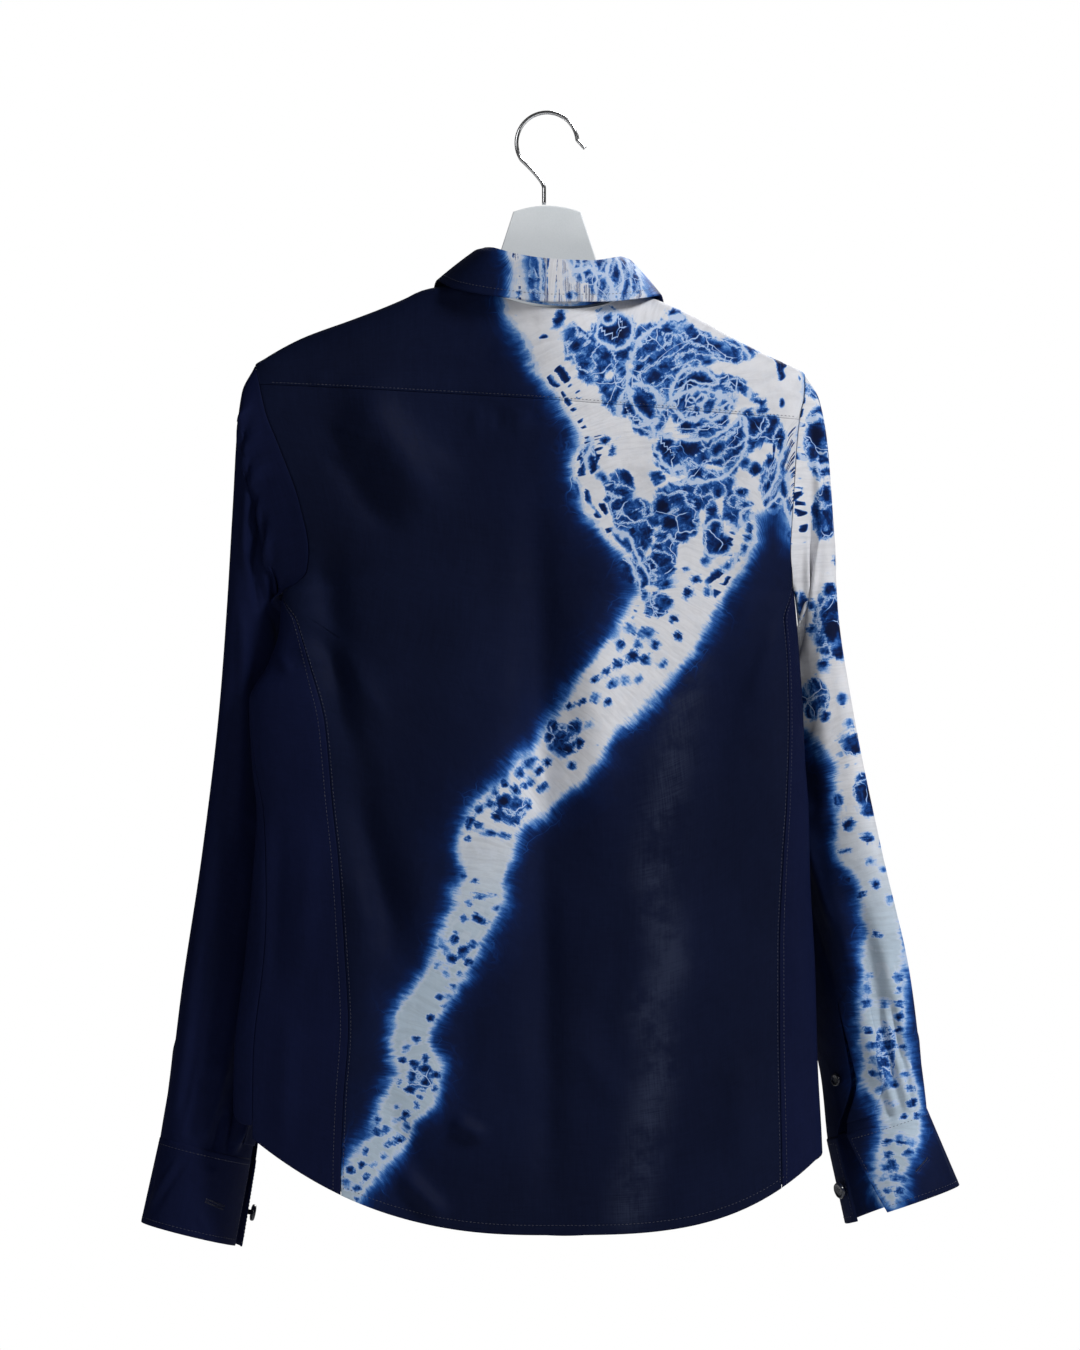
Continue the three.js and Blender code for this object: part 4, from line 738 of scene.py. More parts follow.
def placket_patch(side, us, ts):
    u, t = grid(us, ts)
    u = mix(0.5, u, smooth(PLACKET["point"], PLACKET["top"] + 0.012, t))
    alpha = slit_angle(side, t) - PLACKET["width"] * RAD * (PLACKET["edge"] + u)
    return sleeve_point(side, alpha, t, PLACKET["lift"])


# Collar

leaf = {k: column(LEAF, i + 1) for i, k in enumerate(("fx", "fy", "fz", "ex", "ey", "ez"))}


def stand_point(deg, h):
    x, z, on_back = neck_line(deg * RAD)
    base = body_at(x, z, on_back)
    base[..., 2] += STAND_RISE
    d = np.clip(deg, -LEAF_END, LEAF_END)
    top = vec(leaf["fx"](d), leaf["fy"](d), leaf["fz"](d) - STAND_DROP)
    p = base + (top - base) * h[..., None]
    p[..., 1] -= np.sign(deg) * FRONT_LIFT * smooth(*STAND_PART, np.abs(deg))
    return p


def clear_of_body(p, room):
    x, y, z = p[..., 0], p[..., 1], p[..., 2]
    top = np.where(x < NECK["x"], slope_height("left", x), slope_height("right", x))
    wall_y = body_at(x, z, y < 0, fine=False)[..., 1]
    moved = np.where(y < 0, np.minimum(y, wall_y - room), np.maximum(y, wall_y + room))
    p = p.copy()
    p[..., 1] = np.where(z > top, y, moved)
    return p


def leaf_point(deg, s):
    a = vec(leaf["fx"](deg), leaf["fy"](deg), leaf["fz"](deg))
    b = vec(leaf["ex"](deg), leaf["ey"](deg), leaf["ez"](deg))
    p = a + (b - a) * s[..., None]
    long = np.linalg.norm(b - a, axis=-1)
    roll = LEAF_ROLL["height"] * smooth(0, LEAF_ROLL["width"], s * long) * (1 - s * s)
    out = vec(np.sin(deg * RAD), -np.cos(deg * RAD), np.full(np.shape(deg), LEAF_ROLL["up"]))
    return clear_of_body(p + out * roll[..., None], LEAF_ROOM)


# Meshes

WELD = 1000  # points alike to a thousandth of a millimetre are one
SHARPEST = 0.25  # limits how far a corner of the rim is drawn in
RIM_TURNS = (45, 0, -45)  # angles of the rows of points round a rim


def weld(points):
    """Joins points that coincide: the distinct points, and the index of each given one."""
    keys = np.round(points * WELD).astype(np.int64)
    _, first, index = np.unique(keys, axis=0, return_index=True, return_inverse=True)
    return first, np.ravel(index)


def unit(v):
    return v / np.maximum(1e-12, np.linalg.norm(v, axis=-1, keepdims=True))


def shell(name, patches, thickness, inset=SEAM / 2, under=()):
    """A closed wall of cloth round patches of points, with a rounded rim. A patch is its points by
    row and column, whether it is turned over, and its fields by name. Those under are turned-in
    allowances, which don't count in the width and length."""
    main = len(patches)
    patches = list(patches) + list(under)
    points = np.concatenate([p.reshape(-1, 3) for p, _, _ in patches])
    first, index = weld(points)
    points = points[first]
    fields = {}
    for key in patches[0][2]:
        fields[key] = np.concatenate([np.ravel(f[key]) for _, _, f in patches])[first]
    quads, offset, width, length = [], 0, 0, 0
    for number, (p, flip, _) in enumerate(patches):
        n_v, n_u = p.shape[:2]
        k = index[offset:offset + n_v * n_u].reshape(n_v, n_u)
        offset += n_v * n_u
        q = np.stack([k[:-1, :-1], k[:-1, 1:], k[1:, 1:], k[1:, :-1]], -1).reshape(-1, 4)
        quads.append(q[:, ::-1] if flip else q)
        if number >= main:
            continue
        width += np.linalg.norm(np.diff(p, axis=1), axis=-1).sum(1).max()
        length = max(length, np.linalg.norm(np.diff(p, axis=0), axis=-1).sum(0).max())
    quads = np.concatenate(quads)
    n = len(points)
    a, b, c, d = (points[quads[:, i]] for i in range(4))
    face_normal = np.cross(c - a, d - b) / 2
    area = np.linalg.norm(face_normal, axis=1).sum()
    normals = np.zeros_like(points)
    for i in range(4):
        np.add.at(normals, quads[:, i], face_normal)
    normals = unit(normals)
    start = quads.ravel()
    end = np.roll(quads, -1, axis=1).ravel()
    real = start != end
    start, end = start[real], end[real]
    rim = ~np.isin(start * n + end, end * n + start)
    start, end = start[rim], end[rim]
    total = np.zeros_like(points)
    for k in (start, end):
        np.add.at(total, k, unit(np.cross(normals[k], points[end] - points[start])))
    on_rim = np.unique(np.concatenate([start, end]))
    mitre = total / np.maximum(SHARPEST, (total**2).sum(1, keepdims=True) / 2)
    r = thickness / 2
    sheets = []
    for side in (1, -1):
        sheets.append(points + mitre * (inset + r) + normals * r * side)
    rings = []
    for turn in RIM_TURNS:
        at = inset + r * (1 - math.cos(turn * RAD))
        rings.append(points[on_rim] + mitre[on_rim] * at + normals[on_rim] * r * math.sin(turn * RAD))
    place = np.zeros(n, int)
    place[on_rim] = np.arange(len(on_rim))
    m = len(on_rim)
    lines = [start, place[start] + 2 * n, place[start] + 2 * n + m, place[start] + 2 * n + 2 * m, start + n]
    ends = [end, place[end] + 2 * n, place[end] + 2 * n + m, place[end] + 2 * n + 2 * m, end + n]
    faces = [quads, quads[:, ::-1] + n]
    for i in range(4):
        faces.append(np.stack([ends[i], lines[i], lines[i + 1], ends[i + 1]], -1))
    vertices = np.concatenate(sheets + rings)
    fields = {k: np.concatenate([f, f] + [f[on_rim]] * 3) for k, f in fields.items()}
    obj = mesh_object(name, vertices, np.concatenate(faces), fields)
    return obj, dict(width=width * MM, length=length * MM, area=area * MM * MM)


def mesh_object(name, vertices, faces, fields=None):
    """A mesh from millimetre points and four-cornered faces, where a repeated corner makes a triangle."""
    faces = np.asarray(faces)
    same = faces == np.roll(faces, -1, axis=1)
    kept = ~same
    count = kept.sum(1)
    keep_face = count >= 3
    kept &= keep_face[:, None]
    corners = faces[kept]
    totals = count[keep_face]
    mesh = bpy.data.meshes.new(name)
    mesh.vertices.add(len(vertices))
    mesh.vertices.foreach_set("co", (np.asarray(vertices, np.float32) * np.float32(MM)).ravel())
    mesh.loops.add(len(corners))
    mesh.loops.foreach_set("vertex_index", corners.astype(np.int32))
    mesh.polygons.add(len(totals))
    starts = np.concatenate([[0], np.cumsum(totals)[:-1]]).astype(np.int32)
    mesh.polygons.foreach_set("loop_start", starts)
    mesh.update(calc_edges=True)
    mesh.validate()
    for key, values in (fields or {}).items():
        layer = mesh.attributes.new(key, "FLOAT", "POINT")
        layer.data.foreach_set("value", np.asarray(values, np.float32))
    mesh.shade_smooth()
    obj = bpy.data.objects.new(name, mesh)
    bpy.context.collection.objects.link(obj)
    return obj


# Dye, placed in millimetres. White bands are rows of x, z and half width, followed in turn.
# Blots are x, z, half width, half height and, where they lean, tilt in degrees. Washes and rings
# are x, z and radii. SHOW_THROUGH_LINE is painted light down the back: a pale line where the front's white
# band shows through the thin cloth.
BAND = [
    (-159, -862, 11.2), (-151, -852, 12.8), (-125, -812, 14.4), (-119, -796, 16), (-106, -780, 17.6),
    (-100, -768, 15.2), (-100, -760, 17.6), (-108, -740, 15.2), (-102, -720, 16.8), (-83, -688, 13.6),
    (-71, -664, 16), (-64, -652, 17.6), (-53, -628, 20), (-48, -604, 17.6), (-49, -584, 21.6),
    (-38, -560, 20.8), (-20, -544, 21.6), (12, -514, 24), (36, -478, 25.6), (60, -451, 28.8),
    (87, -418, 31.2), (103, -391, 32.8), (108, -368, 37.6), (110, -340, 52.8), (108, -320, 60),
    (103, -299, 65.6), (97, -280, 76.8), (116, -260, 83.2), (113, -228, 92.8), (100, -198, 89.6),
    (74, -182, 84), (42, -158, 68), (29, -147, 62.4),
]
STRIP = [(196, -260, 6.4), (192, -292, 11.2), (196, -324, 5.6), (198, -344, 1.6)]
SLEEVE_BAND = [
    (218, -196, 32), (218, -228, 32), (220, -308, 36), (226, -388, 36), (234, -468, 36),
    (252, -516, 20.8), (253, -548, 22.4), (257, -588, 22.4), (265, -612, 16), (270, -652, 13.6),
    (269, -676, 17.6), (269, -732, 17.6), (274, -772, 20.8), (284, -796, 15.2), (285, -812, 13.6),
    (280, -832, 14.4), (275, -852, 12.8), (278, -872, 6.4),
]
STAND = [(-30, -148, 5.6), (22, -151, 5.6)]
SHOW_THROUGH_LINE = [
    (112, -446, 15), (84, -606, 15), (98, -678, 15), (80, -713, 15), (90, -749, 15), (66, -874, 15),
]
COLLAR = [
    [(-27, -106, 4), (-22, -128, 7), (-20, -154, 9)], [(6, -100, 14), (8, -156, 16)],
    [(30, -108, 13), (34, -156, 14)], [(52, -104, 13), (56, -156, 16)], [(66, -112, 7), (74, -156, 9)],
]
COLLAR_BLOTS = [
    (-9, -122, 3, 9, 12), (-5, -141, 3, 7, 10), (-12, -138, 2.4, 5, 8), (24, -117, 9, 4.5),
    (38, -124, 9, 3.4, 40), (29, -131, 7, 3, 44), (20, -147, 5, 3), (44, -140, 2.6, 9, -18),
    (54, -131, 2.6, 12, -14), (62, -140, 2.4, 10, -12), (51, -117, 5, 3, 20), (60, -120, 3, 5),
    (70, -131, 2.4, 10, -12), (-24, -147, 3, 3), (44, -112, 5, 3),
]
COLLAR_WASHES = [(-8, -132, 8, 26), (34, -128, 17, 13), (54, -132, 26, 26)]
BLOTS = [
    (54, -173, 16, 13, 10), (48, -163, 9, 8), (62, -190, 9, 8, 20), (10, -166, 4, 8, -35),
    (17, -176, 4, 7, -35), (23, -186, 5, 8, -35), (29, -200, 7, 5, -35), (33, -190, 3.4, 8, -35),
    (38, -180, 3, 7, -35), (87, -180, 6, 6, 40), (103, -162, 10, 5, -28), (95, -170, 8, 4, -28),
    (78, -190, 9, 3.4, 30), (86, -196, 9, 3.4, 30), (96, -190, 7, 3.4, 30), (74, -204, 8, 3.2, 30),
    (66, -210, 7, 3.4, 25), (60, -204, 4, 6), (104, -184, 5, 4), (112, -172, 6, 4, -30),
    (120, -180, 7, 4, -25), (134, -186, 8, 5, -30), (146, -192, 9, 6, -30), (112, -196, 7, 3.4, 20),
    (128, -198, 6, 4), (115, -222, 14, 11, 20), (103, -230, 11, 9), (122, -212, 10, 6, -20),
    (98, -219, 6, 8, 20), (131, -236, 6, 8), (143, -232, 5, 6), (121, -242, 9, 6), (112, -250, 10, 5, 20),
    (139, -246, 6, 4), (73, -231, 10, 12, 15), (80, -242, 7, 10), (68, -219, 6, 6), (86, -224, 4, 5),
    (62, -238, 3.4, 4), (88, -250, 5, 8, -15), (95, -262, 6, 6), (112, -268, 11, 8, 10), (92, -270, 8, 8),
    (100, -278, 6, 5), (124, -275, 9, 4, 30), (136, -268, 10, 4.4, 30), (147, -262, 8, 4, 30),
    (104, -289, 2.6, 2.6), (118, -290, 8, 5, 30), (87, -291, 6, 6), (166, -249, 9, 8), (158, -240, 6, 5),
    (172, -238, 5, 4), (154, -256, 6, 4, 20), (160, -224, 7, 4, -30), (170, -230, 5, 3.4, -20),
    (150, -218, 6, 3.4, -20), (131, -294, 6, 5), (137, -302, 4.4, 5), (124, -300, 5, 4, 30),
    (148, -284, 6, 5), (157, -279, 5, 6), (166, -284, 5, 6), (132, -318, 4.4, 6), (132, -331, 6, 11, 5),
    (137, -344, 10, 9), (130, -350, 5, 5), (156, -303, 5, 4), (158, -313, 5, 3.4), (160, -322, 5, 3.4),
    (161, -331, 4.6, 3.4), (161, -340, 4.4, 3.4), (157, -349, 4.6, 4, 20), (150, -356, 4, 4, 30),
    (143, -362, 4, 3.4, 30), (148, -310, 3, 3), (185, -286, 3.6, 10, -22), (188, -300, 4.6, 11, -18),
    (178, -296, 4, 9, -28), (190, -318, 5, 9, -8), (182, -310, 3.6, 8, -20), (186, -262, 4, 7),
    (194, -334, 4, 9), (178, -278, 4, 6, -20), (189, -272, 4, 6), (33, -272, 3.4, 6, 28),
    (38, -282, 3.4, 6, 30), (44, -291, 3.6, 6, 34), (50, -299, 3.6, 6, 34), (34, -264, 3, 4),
    (60, -303, 8, 4, -20), (66, -312, 9, 4.4, -10), (56, -313, 4, 4), (67, -322, 8, 4.4),
    (57, -323, 4, 3.4), (48, -308, 3, 3), (46, -262, 4, 4), (52, -270, 3, 4), (92, -314, 8, 8),
    (104, -310, 7, 6), (98, -327, 9, 7), (110, -322, 7, 9), (108, -337, 8, 6), (86, -326, 5, 5),
    (116, -334, 4, 6), (90, -338, 4, 3.4), (73, -354, 4.6, 4.4), (77, -365, 4.6, 4), (76, -374, 4.6, 4.4),
    (91, -357, 8, 5, -20), (95, -366, 8, 4), (94, -376, 8, 5, 10), (92, -391, 8, 7), (78, -386, 3.6, 4),
    (80, -398, 3.6, 3.4), (112, -384, 5, 5), (127, -358, 4, 4), (136, -366, 4, 3.4), (118, -372, 4, 3.4),
    (128, -382, 3.6, 4, 20), (110, -364, 3, 3), (66, -412, 5, 4.6), (80, -415, 7, 5),
    (72, -424, 5, 4, 30), (86, -424, 5, 4), (68, -434, 5, 5, 20), (58, -424, 4, 5), (78, -436, 6, 4),
    (100, -404, 4, 4), (104, -418, 4, 5, 20), (92, -440, 5, 4, 20), (56, -440, 4, 4, 30),
    (46, -446, 4, 4, 30), (52, -456, 5, 3.4, 20), (38, -452, 3.4, 3.4), (62, -452, 4, 4),
    (72, -452, 3.4, 3), (38, -466, 3, 4, 20), (28, -470, 4, 3.6, 20), (18, -474, 3.8, 3.8),
    (48, -470, 3, 3), (4, -488, 5, 5), (12, -498, 6, 5, 30), (22, -490, 6, 6), (14, -508, 8, 6),
    (4, -506, 4, 4), (26, -502, 4, 4), (34, -486, 3.4, 4), (0, -518, 4, 4), (20, -520, 4, 4),
    (-14, -518, 6, 5, 40), (-6, -524, 5, 4, 30), (-14, -534, 7, 4, 30), (-22, -526, 4, 5, 30),
    (-26, -540, 4, 6, 30), (-4, -538, 5, 4, 20), (-34, -534, 4, 5, 40), (-42, -540, 4, 5, 40),
    (-34, -548, 7, 6, 30), (-24, -552, 6, 5), (-46, -550, 4, 5, 30), (-54, -556, 4, 5, 30),
    (-40, -560, 6, 4), (-28, -564, 7, 4), (-16, -552, 4, 5), (-62, -566, 4, 6), (-54, -568, 4, 3.6),
    (-46, -574, 7, 3.4), (-34, -576, 5, 3), (-62, -578, 3, 3), (-67, -608, 4, 3.4), (-57, -612, 4, 3),
    (-50, -624, 9, 2.6), (-54, -643, 8, 3.4, -20), (-40, -634, 4, 3), (-62, -630, 3, 3),
    (-66, -642, 3.4, 3), (-40, -648, 4, 3), (-82, -664, 4, 7, 30), (-73, -658, 4, 5), (-67, -668, 5, 6),
    (-58, -662, 5, 4), (-76, -674, 4, 5, 20), (-62, -676, 4, 4), (-88, -678, 3, 3.4),
    (-80, -686, 3, 4, 20), (-70, -686, 3, 3), (-75, -696, 3.8, 2.6), (-77, -704, 3.8, 2.6),
    (-80, -712, 3.8, 2.6), (-92, -722, 3, 3), (-86, -704, 3, 2.6), (-103, -738, 3.4, 3.4),
    (-112, -744, 3, 3), (-115, -754, 3.4, 3), (-96, -752, 4, 4), (-97, -762, 5, 4), (-106, -758, 4, 4),
    (-108, -767, 4, 5), (-96, -772, 5, 5), (-108, -778, 5, 4), (-88, -766, 3, 3), (-118, -772, 3, 3),
    (-90, -778, 3, 3), (-100, -784, 4, 3), (-120, -792, 3.8, 3), (-112, -798, 5, 4), (-104, -790, 3, 4),
    (-112, -808, 4, 4), (-120, -803, 4, 3), (-134, -802, 4, 4), (-128, -810, 4, 3.4), (-136, -812, 5, 4),
    (-118, -818, 5, 3.4), (-126, -822, 4, 3), (-130, -832, 3.4, 3), (-145, -828, 4, 3),
    (-138, -838, 3.8, 3), (-148, -838, 3.4, 3), (-156, -842, 4, 4), (-144, -848, 4, 3),
    (-160, -853, 4, 4.6), (-151, -857, 4, 3), (-150, -866, 5, 3),
]
SLEEVE_BLOTS = [
    (205, -215, 9.4, 7.8, 20), (217, -240, 6.2, 6.2), (216, -257, 8.6, 11), (223, -278, 7, 12.6, -5),
    (223, -304, 6.2, 7.8), (212, -272, 4.6, 6.2), (226, -380, 6.2, 6.2), (229, -394, 6.2, 6.2),
    (229, -412, 8.6, 13.4, 10), (223, -400, 5.4, 5.4), (212, -412, 4.6, 4.6), (234, -430, 5.4, 7),
    (222, -440, 5.4, 5.4, 40), (218, -471, 6.2, 3.8, 40), (212, -478, 5.4, 7), (247, -499, 4.6, 4.6),
    (259, -544, 11, 11), (244, -504, 11.8, 7, -25), (274, -628, 3.8, 3), (265, -656, 4.6, 3),
    (273, -745, 6.2, 3.8), (269, -760, 5.4, 4.6), (277, -776, 5.4, 4.6), (282, -820, 4.6, 3.8),
    (277, -840, 3.8, 3.8), (239, -590, 5, 3, 10), (258, -598, 5, 3, 10), (270, -604, 4, 3, -15),
    (242, -612, 5, 3, 10), (263, -616, 5, 4, -15), (252, -624, 4, 3, 10), (241, -569, 5, 5, -15),
    (257, -579, 6, 4, -15), (270, -585, 4, 4, -15), (233, -548, 5, 6, 10), (257, -558, 6, 5, -15),
    (244, -566, 5, 4, -15), (236, -468, 5, 5, 10), (223, -481, 5, 5, 10), (242, -488, 4, 4, 10),
    (218, -420, 5, 4, -15), (212, -392, 4, 4, -15), (233, -356, 5, 5, 10),
]
# Teeth across the sleeve's band: z, and x of the left, middle and right one
SLEEVE_TEETH = [
    (-690, 256, 268, 281), (-700, 257, 269, 282), (-711, 256, 270, 283), (-722, 258, 269, 282),
    (-733, 257, 270, 283), (-746, 259, 272, 284), (-757, 261, 273, 286), (-768, 263, 275, 288),
    (-780, 268, 279, 291), (-791, 275, 284, 293), (-802, 278, 287, 296), (-822, 274, 282, 290),
    (-832, 273, 281, 289), (-842, 271, 279, 287), (-852, 270, 278, 285), (-862, 272, 278, 283),
]
for row, (z, *places) in enumerate(SLEEVE_TEETH):
    for k, x in enumerate(places):
        if (row * 5 + k * 3) % 7 != 1 and (k != 1 or row % 3):
            wide = (4.4, 3.4, 4.2)[k] + row % 3 * 0.4
            SLEEVE_BLOTS.append((x, z, wide, 2.8 + (row * 2 + k) % 3 * 0.4, (8, -10, 14)[(row + k) % 3]))
WASHES = [
    (48, -186, 22, 26), (86, -186, 30, 22), (114, -186, 24, 18), (150, -190, 22, 12), (122, -228, 34, 30),
    (80, -236, 20, 28), (106, -276, 24, 16), (102, -322, 22, 26), (160, -256, 18, 18),
    (138, -272, 24, 12), (176, -252, 14, 14), (70, -212, 22, 10), (180, -296, 12, 28), (32, -276, 8, 12),
    (84, -366, 16, 14), (88, -392, 12, 12), (60, -314, 12, 14), (12, -498, 16, 14), (-30, -554, 16, 14),
    (-100, -768, 12, 14), (146, -216, 16, 8), (132, -336, 10, 22), (22, -186, 12, 18), (70, -330, 20, 26),
    (58, -300, 14, 20), (110, -306, 30, 16), (60, -226, 22, 20), (130, -296, 24, 14), (150, -316, 12, 20),
    (94, -350, 12, 18), (36, -206, 14, 16), (100, -206, 26, 16), (64, -366, 14, 12), (128, -250, 22, 20),
    (20, -300, 8, 12),
]
SLEEVE_WASHES = [
    (218, -262, 16, 34), (226, -408, 16, 34), (214, -466, 14, 18), (257, -540, 14, 18), (214, -210, 14, 20),
    (246, -504, 12, 10), (271, -752, 10, 30), (222, -320, 14, 24),
]
RINGS = [
    (105, -290, 6.4), (47, -163, 6.4), (131, -236, 9), (54, -174, 15), (122, -258, 36.8), (114, -212, 49.6),
    (118, -224, 20), (73, -234, 17), (137, -340, 15),
]
FRONT_BAND = [
    (150, -180, 84), (136, -232, 80), (112, -290, 70), (98, -350, 58), (92, -410, 40), (70, -470, 26),
    (52, -530, 22), (56, -590, 24), (38, -650, 20), (20, -700, 18), (24, -760, 20), (4, -830, 16),
]
FRONT_BLOTS = [
    (122, -216, 13, 10, 20), (96, -244, 9, 13), (146, -250, 10, 8), (110, -282, 12, 9, -20),
    (84, -300, 6, 9), (134, -302, 7, 12), (104, -334, 9, 8), (120, -360, 6, 10, 10), (92, -376, 7, 6),
    (78, -452, 7, 6), (60, -500, 6, 7), (48, -560, 6, 6), (58, -606, 7, 6), (44, -640, 5, 6),
    (24, -690, 5, 5), (28, -746, 6, 6), (12, -800, 5, 5),
]

DYE_STEP = 4  # along a band
DYE_SOFT = 6  # how widely the places along a band are averaged
FAR_OUT, NO_BLOT, NO_RING = -200.0, -60.0, 60.0  # distances where there is no band, blot or ring
# How spots leave the side of a sleeve that the view from behind shows, for those of its flank
FLANK = dict(narrowest=12, hidden=(0.6, 0.95), shown=(0.3, 0.7), depth=30)


def band_samples(band):
    out, long = [], 0
    for (x0, z0, r0), (x1, z1, r1) in zip(band, band[1:]):
        n = max(1, int(math.hypot(x1 - x0, z1 - z0) / DYE_STEP))
        for i in range(n):
            t = i / n
            out.append((mix(x0, x1, t), mix(z0, z1, t), mix(r0, r1, t), long))
            long += math.hypot(x1 - x0, z1 - z0) / n
    return out + [(*band[-1], long)]


def inside_band(bands, x, z):
    """Depth inside the white bands, negative outside, and the place along them."""
    depth = np.full(x.shape, FAR_OUT)
    total, weight = np.zeros(x.shape), np.full(x.shape, 1e-9)
    for k, band in enumerate(bands):
        for bx, bz, r, along in band_samples(band):
            d = r - np.hypot(x - bx, z - bz)
            depth = np.maximum(depth, d)
            w = np.exp(np.clip(d, -60, 120) / DYE_SOFT)
            total += w * (along + 1000 * k)
            weight += w
    return depth, total / weight


def inside_blot(x, z, middle_x, middle_z, wide, high, tilt=0):
    """Depth inside a leaning ellipse, negative outside."""
    c, s = math.cos(tilt * RAD), math.sin(tilt * RAD)
    dx, dz = x - middle_x, z - middle_z
    q = np.hypot((dx * c + dz * s) / wide, (dz * c - dx * s) / high)
    return (1 - q) * min(wide, high) * 1.1


def inside_blots(blots, x, z):
    depth = np.full(x.shape, NO_BLOT)
    for blot in blots:
        depth = np.maximum(depth, inside_blot(x, z, *blot))
    return depth


def washed(washes, x, z):
    total = np.zeros(x.shape)
    for wx, wz, wide, high in washes:
        total = np.maximum(total, 1 - np.hypot((x - wx) / wide, (z - wz) / high) ** 2)
    return np.clip(total * 2, 0, 1)


def near_ring(rings, x, z):
    best = np.full(x.shape, NO_RING)
    for rx, rz, r in rings:
        d = np.hypot(x - rx, z - rz) - r
        best = np.where(np.abs(d) < np.abs(best), d, best)
    return best


def near_line(line, x, z):
    """1 on a soft line of x, z and half width, 0 beside it."""
    best = np.zeros(x.shape)
    for (x0, z0, r), (x1, z1, _) in zip(line, line[1:]):
        dx, dz = x1 - x0, z1 - z0
        t = np.clip(((x - x0) * dx + (z - z0) * dz) / (dx * dx + dz * dz), 0, 1)
        best = np.maximum(best, np.exp(-((np.hypot(x - x0 - t * dx, z - z0 - t * dz) / r) ** 2)))
    return best


BACK_DYE = dict(bands=[BAND, STRIP], blots=BLOTS, washes=WASHES, rings=RINGS, busy=(-430, -350))
FRONT_DYE = dict(bands=[FRONT_BAND], blots=FRONT_BLOTS, washes=[(120, -250, 46, 60), (104, -330, 24, 40)],
                 rings=[(112, -262, 24), (96, -330, 14)], busy=(-430, -350))
# Spots on a sleeve's flank, hidden from behind: y from its middle, z, half width, half height, tilt
FLANK_BLOTS = [
    (-6, -236, 9, 14, 10), (14, -262, 8, 7), (-12, -300, 10, 9, -20), (8, -338, 7, 12),
    (-4, -392, 12, 10, 15), (16, -424, 6, 8), (-14, -452, 7, 9), (6, -500, 10, 12, -10), (-8, -556, 6, 8),
    (10, -590, 5, 6), (-4, -640, 6, 5), (6, -690, 5, 6), (-6, -742, 5, 5), (4, -790, 5, 4),
    (20, -318, 6, 9), (-22, -364, 6, 7), (20, -478, 5, 8), (-20, -262, 5, 8),
]
SLEEVE_DYE = dict(bands=[SLEEVE_BAND], blots=SLEEVE_BLOTS, washes=SLEEVE_WASHES, rings=[(218, -262, 20)],
                  busy=(-600, -330), flank=FLANK_BLOTS)
COLLAR_DYE = dict(bands=COLLAR, blots=COLLAR_BLOTS, washes=COLLAR_WASHES, rings=[(30, -150, 24)],
                  busy=(-400, -390))
STAND_DYE = dict(bands=[STAND], blots=[], washes=[], rings=[], busy=(1, 0))
DYES = {
    "yoke": (BACK_DYE, FRONT_DYE), "back": (BACK_DYE, BACK_DYE), "front_right": (FRONT_DYE, FRONT_DYE),
    "sleeve_right": (SLEEVE_DYE, SLEEVE_DYE), "placket_right": (SLEEVE_DYE, SLEEVE_DYE),
    "cuff_right": (SLEEVE_DYE, SLEEVE_DYE), "collar_leaf": (COLLAR_DYE, COLLAR_DYE),
    "collar_stand": (STAND_DYE, STAND_DYE),
}


def flank(points):
    """How far points of a tube are turned from back and front, 0 to 1, and their y from its middle."""
    y = points[..., 1]
    low, high = y.min(1, keepdims=True), y.max(1, keepdims=True)
    middle, half = (low + high) / 2, np.maximum((high - low) / 2, 1e-6)
    turned = np.where(half > FLANK["narrowest"], 1 - np.abs(y - middle) / half, 0)
    return np.clip(turned, 0, 1).ravel(), (y - middle).ravel()


def dye_fields(points, dyes):
    """The fields that the dyed cloth's material reads, for points in millimetres."""
    x, y, z = (points[..., k].ravel() for k in range(3))
    result = {}
    for dye, part in ((dyes[0], y < 0), (dyes[1], y >= 0)):
        depth, along = inside_band(dye["bands"], x, z)
        values = dict(depth=depth, along=along, blot=inside_blots(dye["blots"], x, z),
                      wash=washed(dye["washes"], x, z), ring=near_ring(dye["rings"], x, z),
                      busy=smooth(*dye["busy"], z))
        if "flank" in dye:
            turned, from_middle = flank(points)
            hidden, shown = smooth(*FLANK["hidden"], turned), smooth(*FLANK["shown"], turned)
            spots = inside_blots(dye["flank"], from_middle, z) + FLANK["depth"] * (shown - 1)
            values["blot"] = np.maximum(values["blot"] - FLANK["depth"] * hidden, spots)
            values["wash"] = values["wash"] * (1 - hidden)
        for key, value in values.items():
            result[key] = np.where(part, value, result.get(key, 0))
    # painted light: where the front's white band shows through the thin back
    result["show_through"] = near_line(SHOW_THROUGH_LINE, x, z) * (y < 0)
    return {k: v.reshape(points.shape[:-1]) for k, v in result.items()}


def grain_fields(points):
    """Distances across and along the cloth, for the weave."""
    across = np.linalg.norm(np.diff(points, axis=1), axis=-1)
    down = np.linalg.norm(np.diff(points, axis=0), axis=-1)
    u = np.concatenate([[0], np.cumsum(across[across.shape[0] // 2])])
    v = np.concatenate([[0], np.cumsum(down[:, down.shape[1] // 2])])
    u, v = np.meshgrid(u, v)
    return dict(grain_u=u, grain_v=v)


# Materials

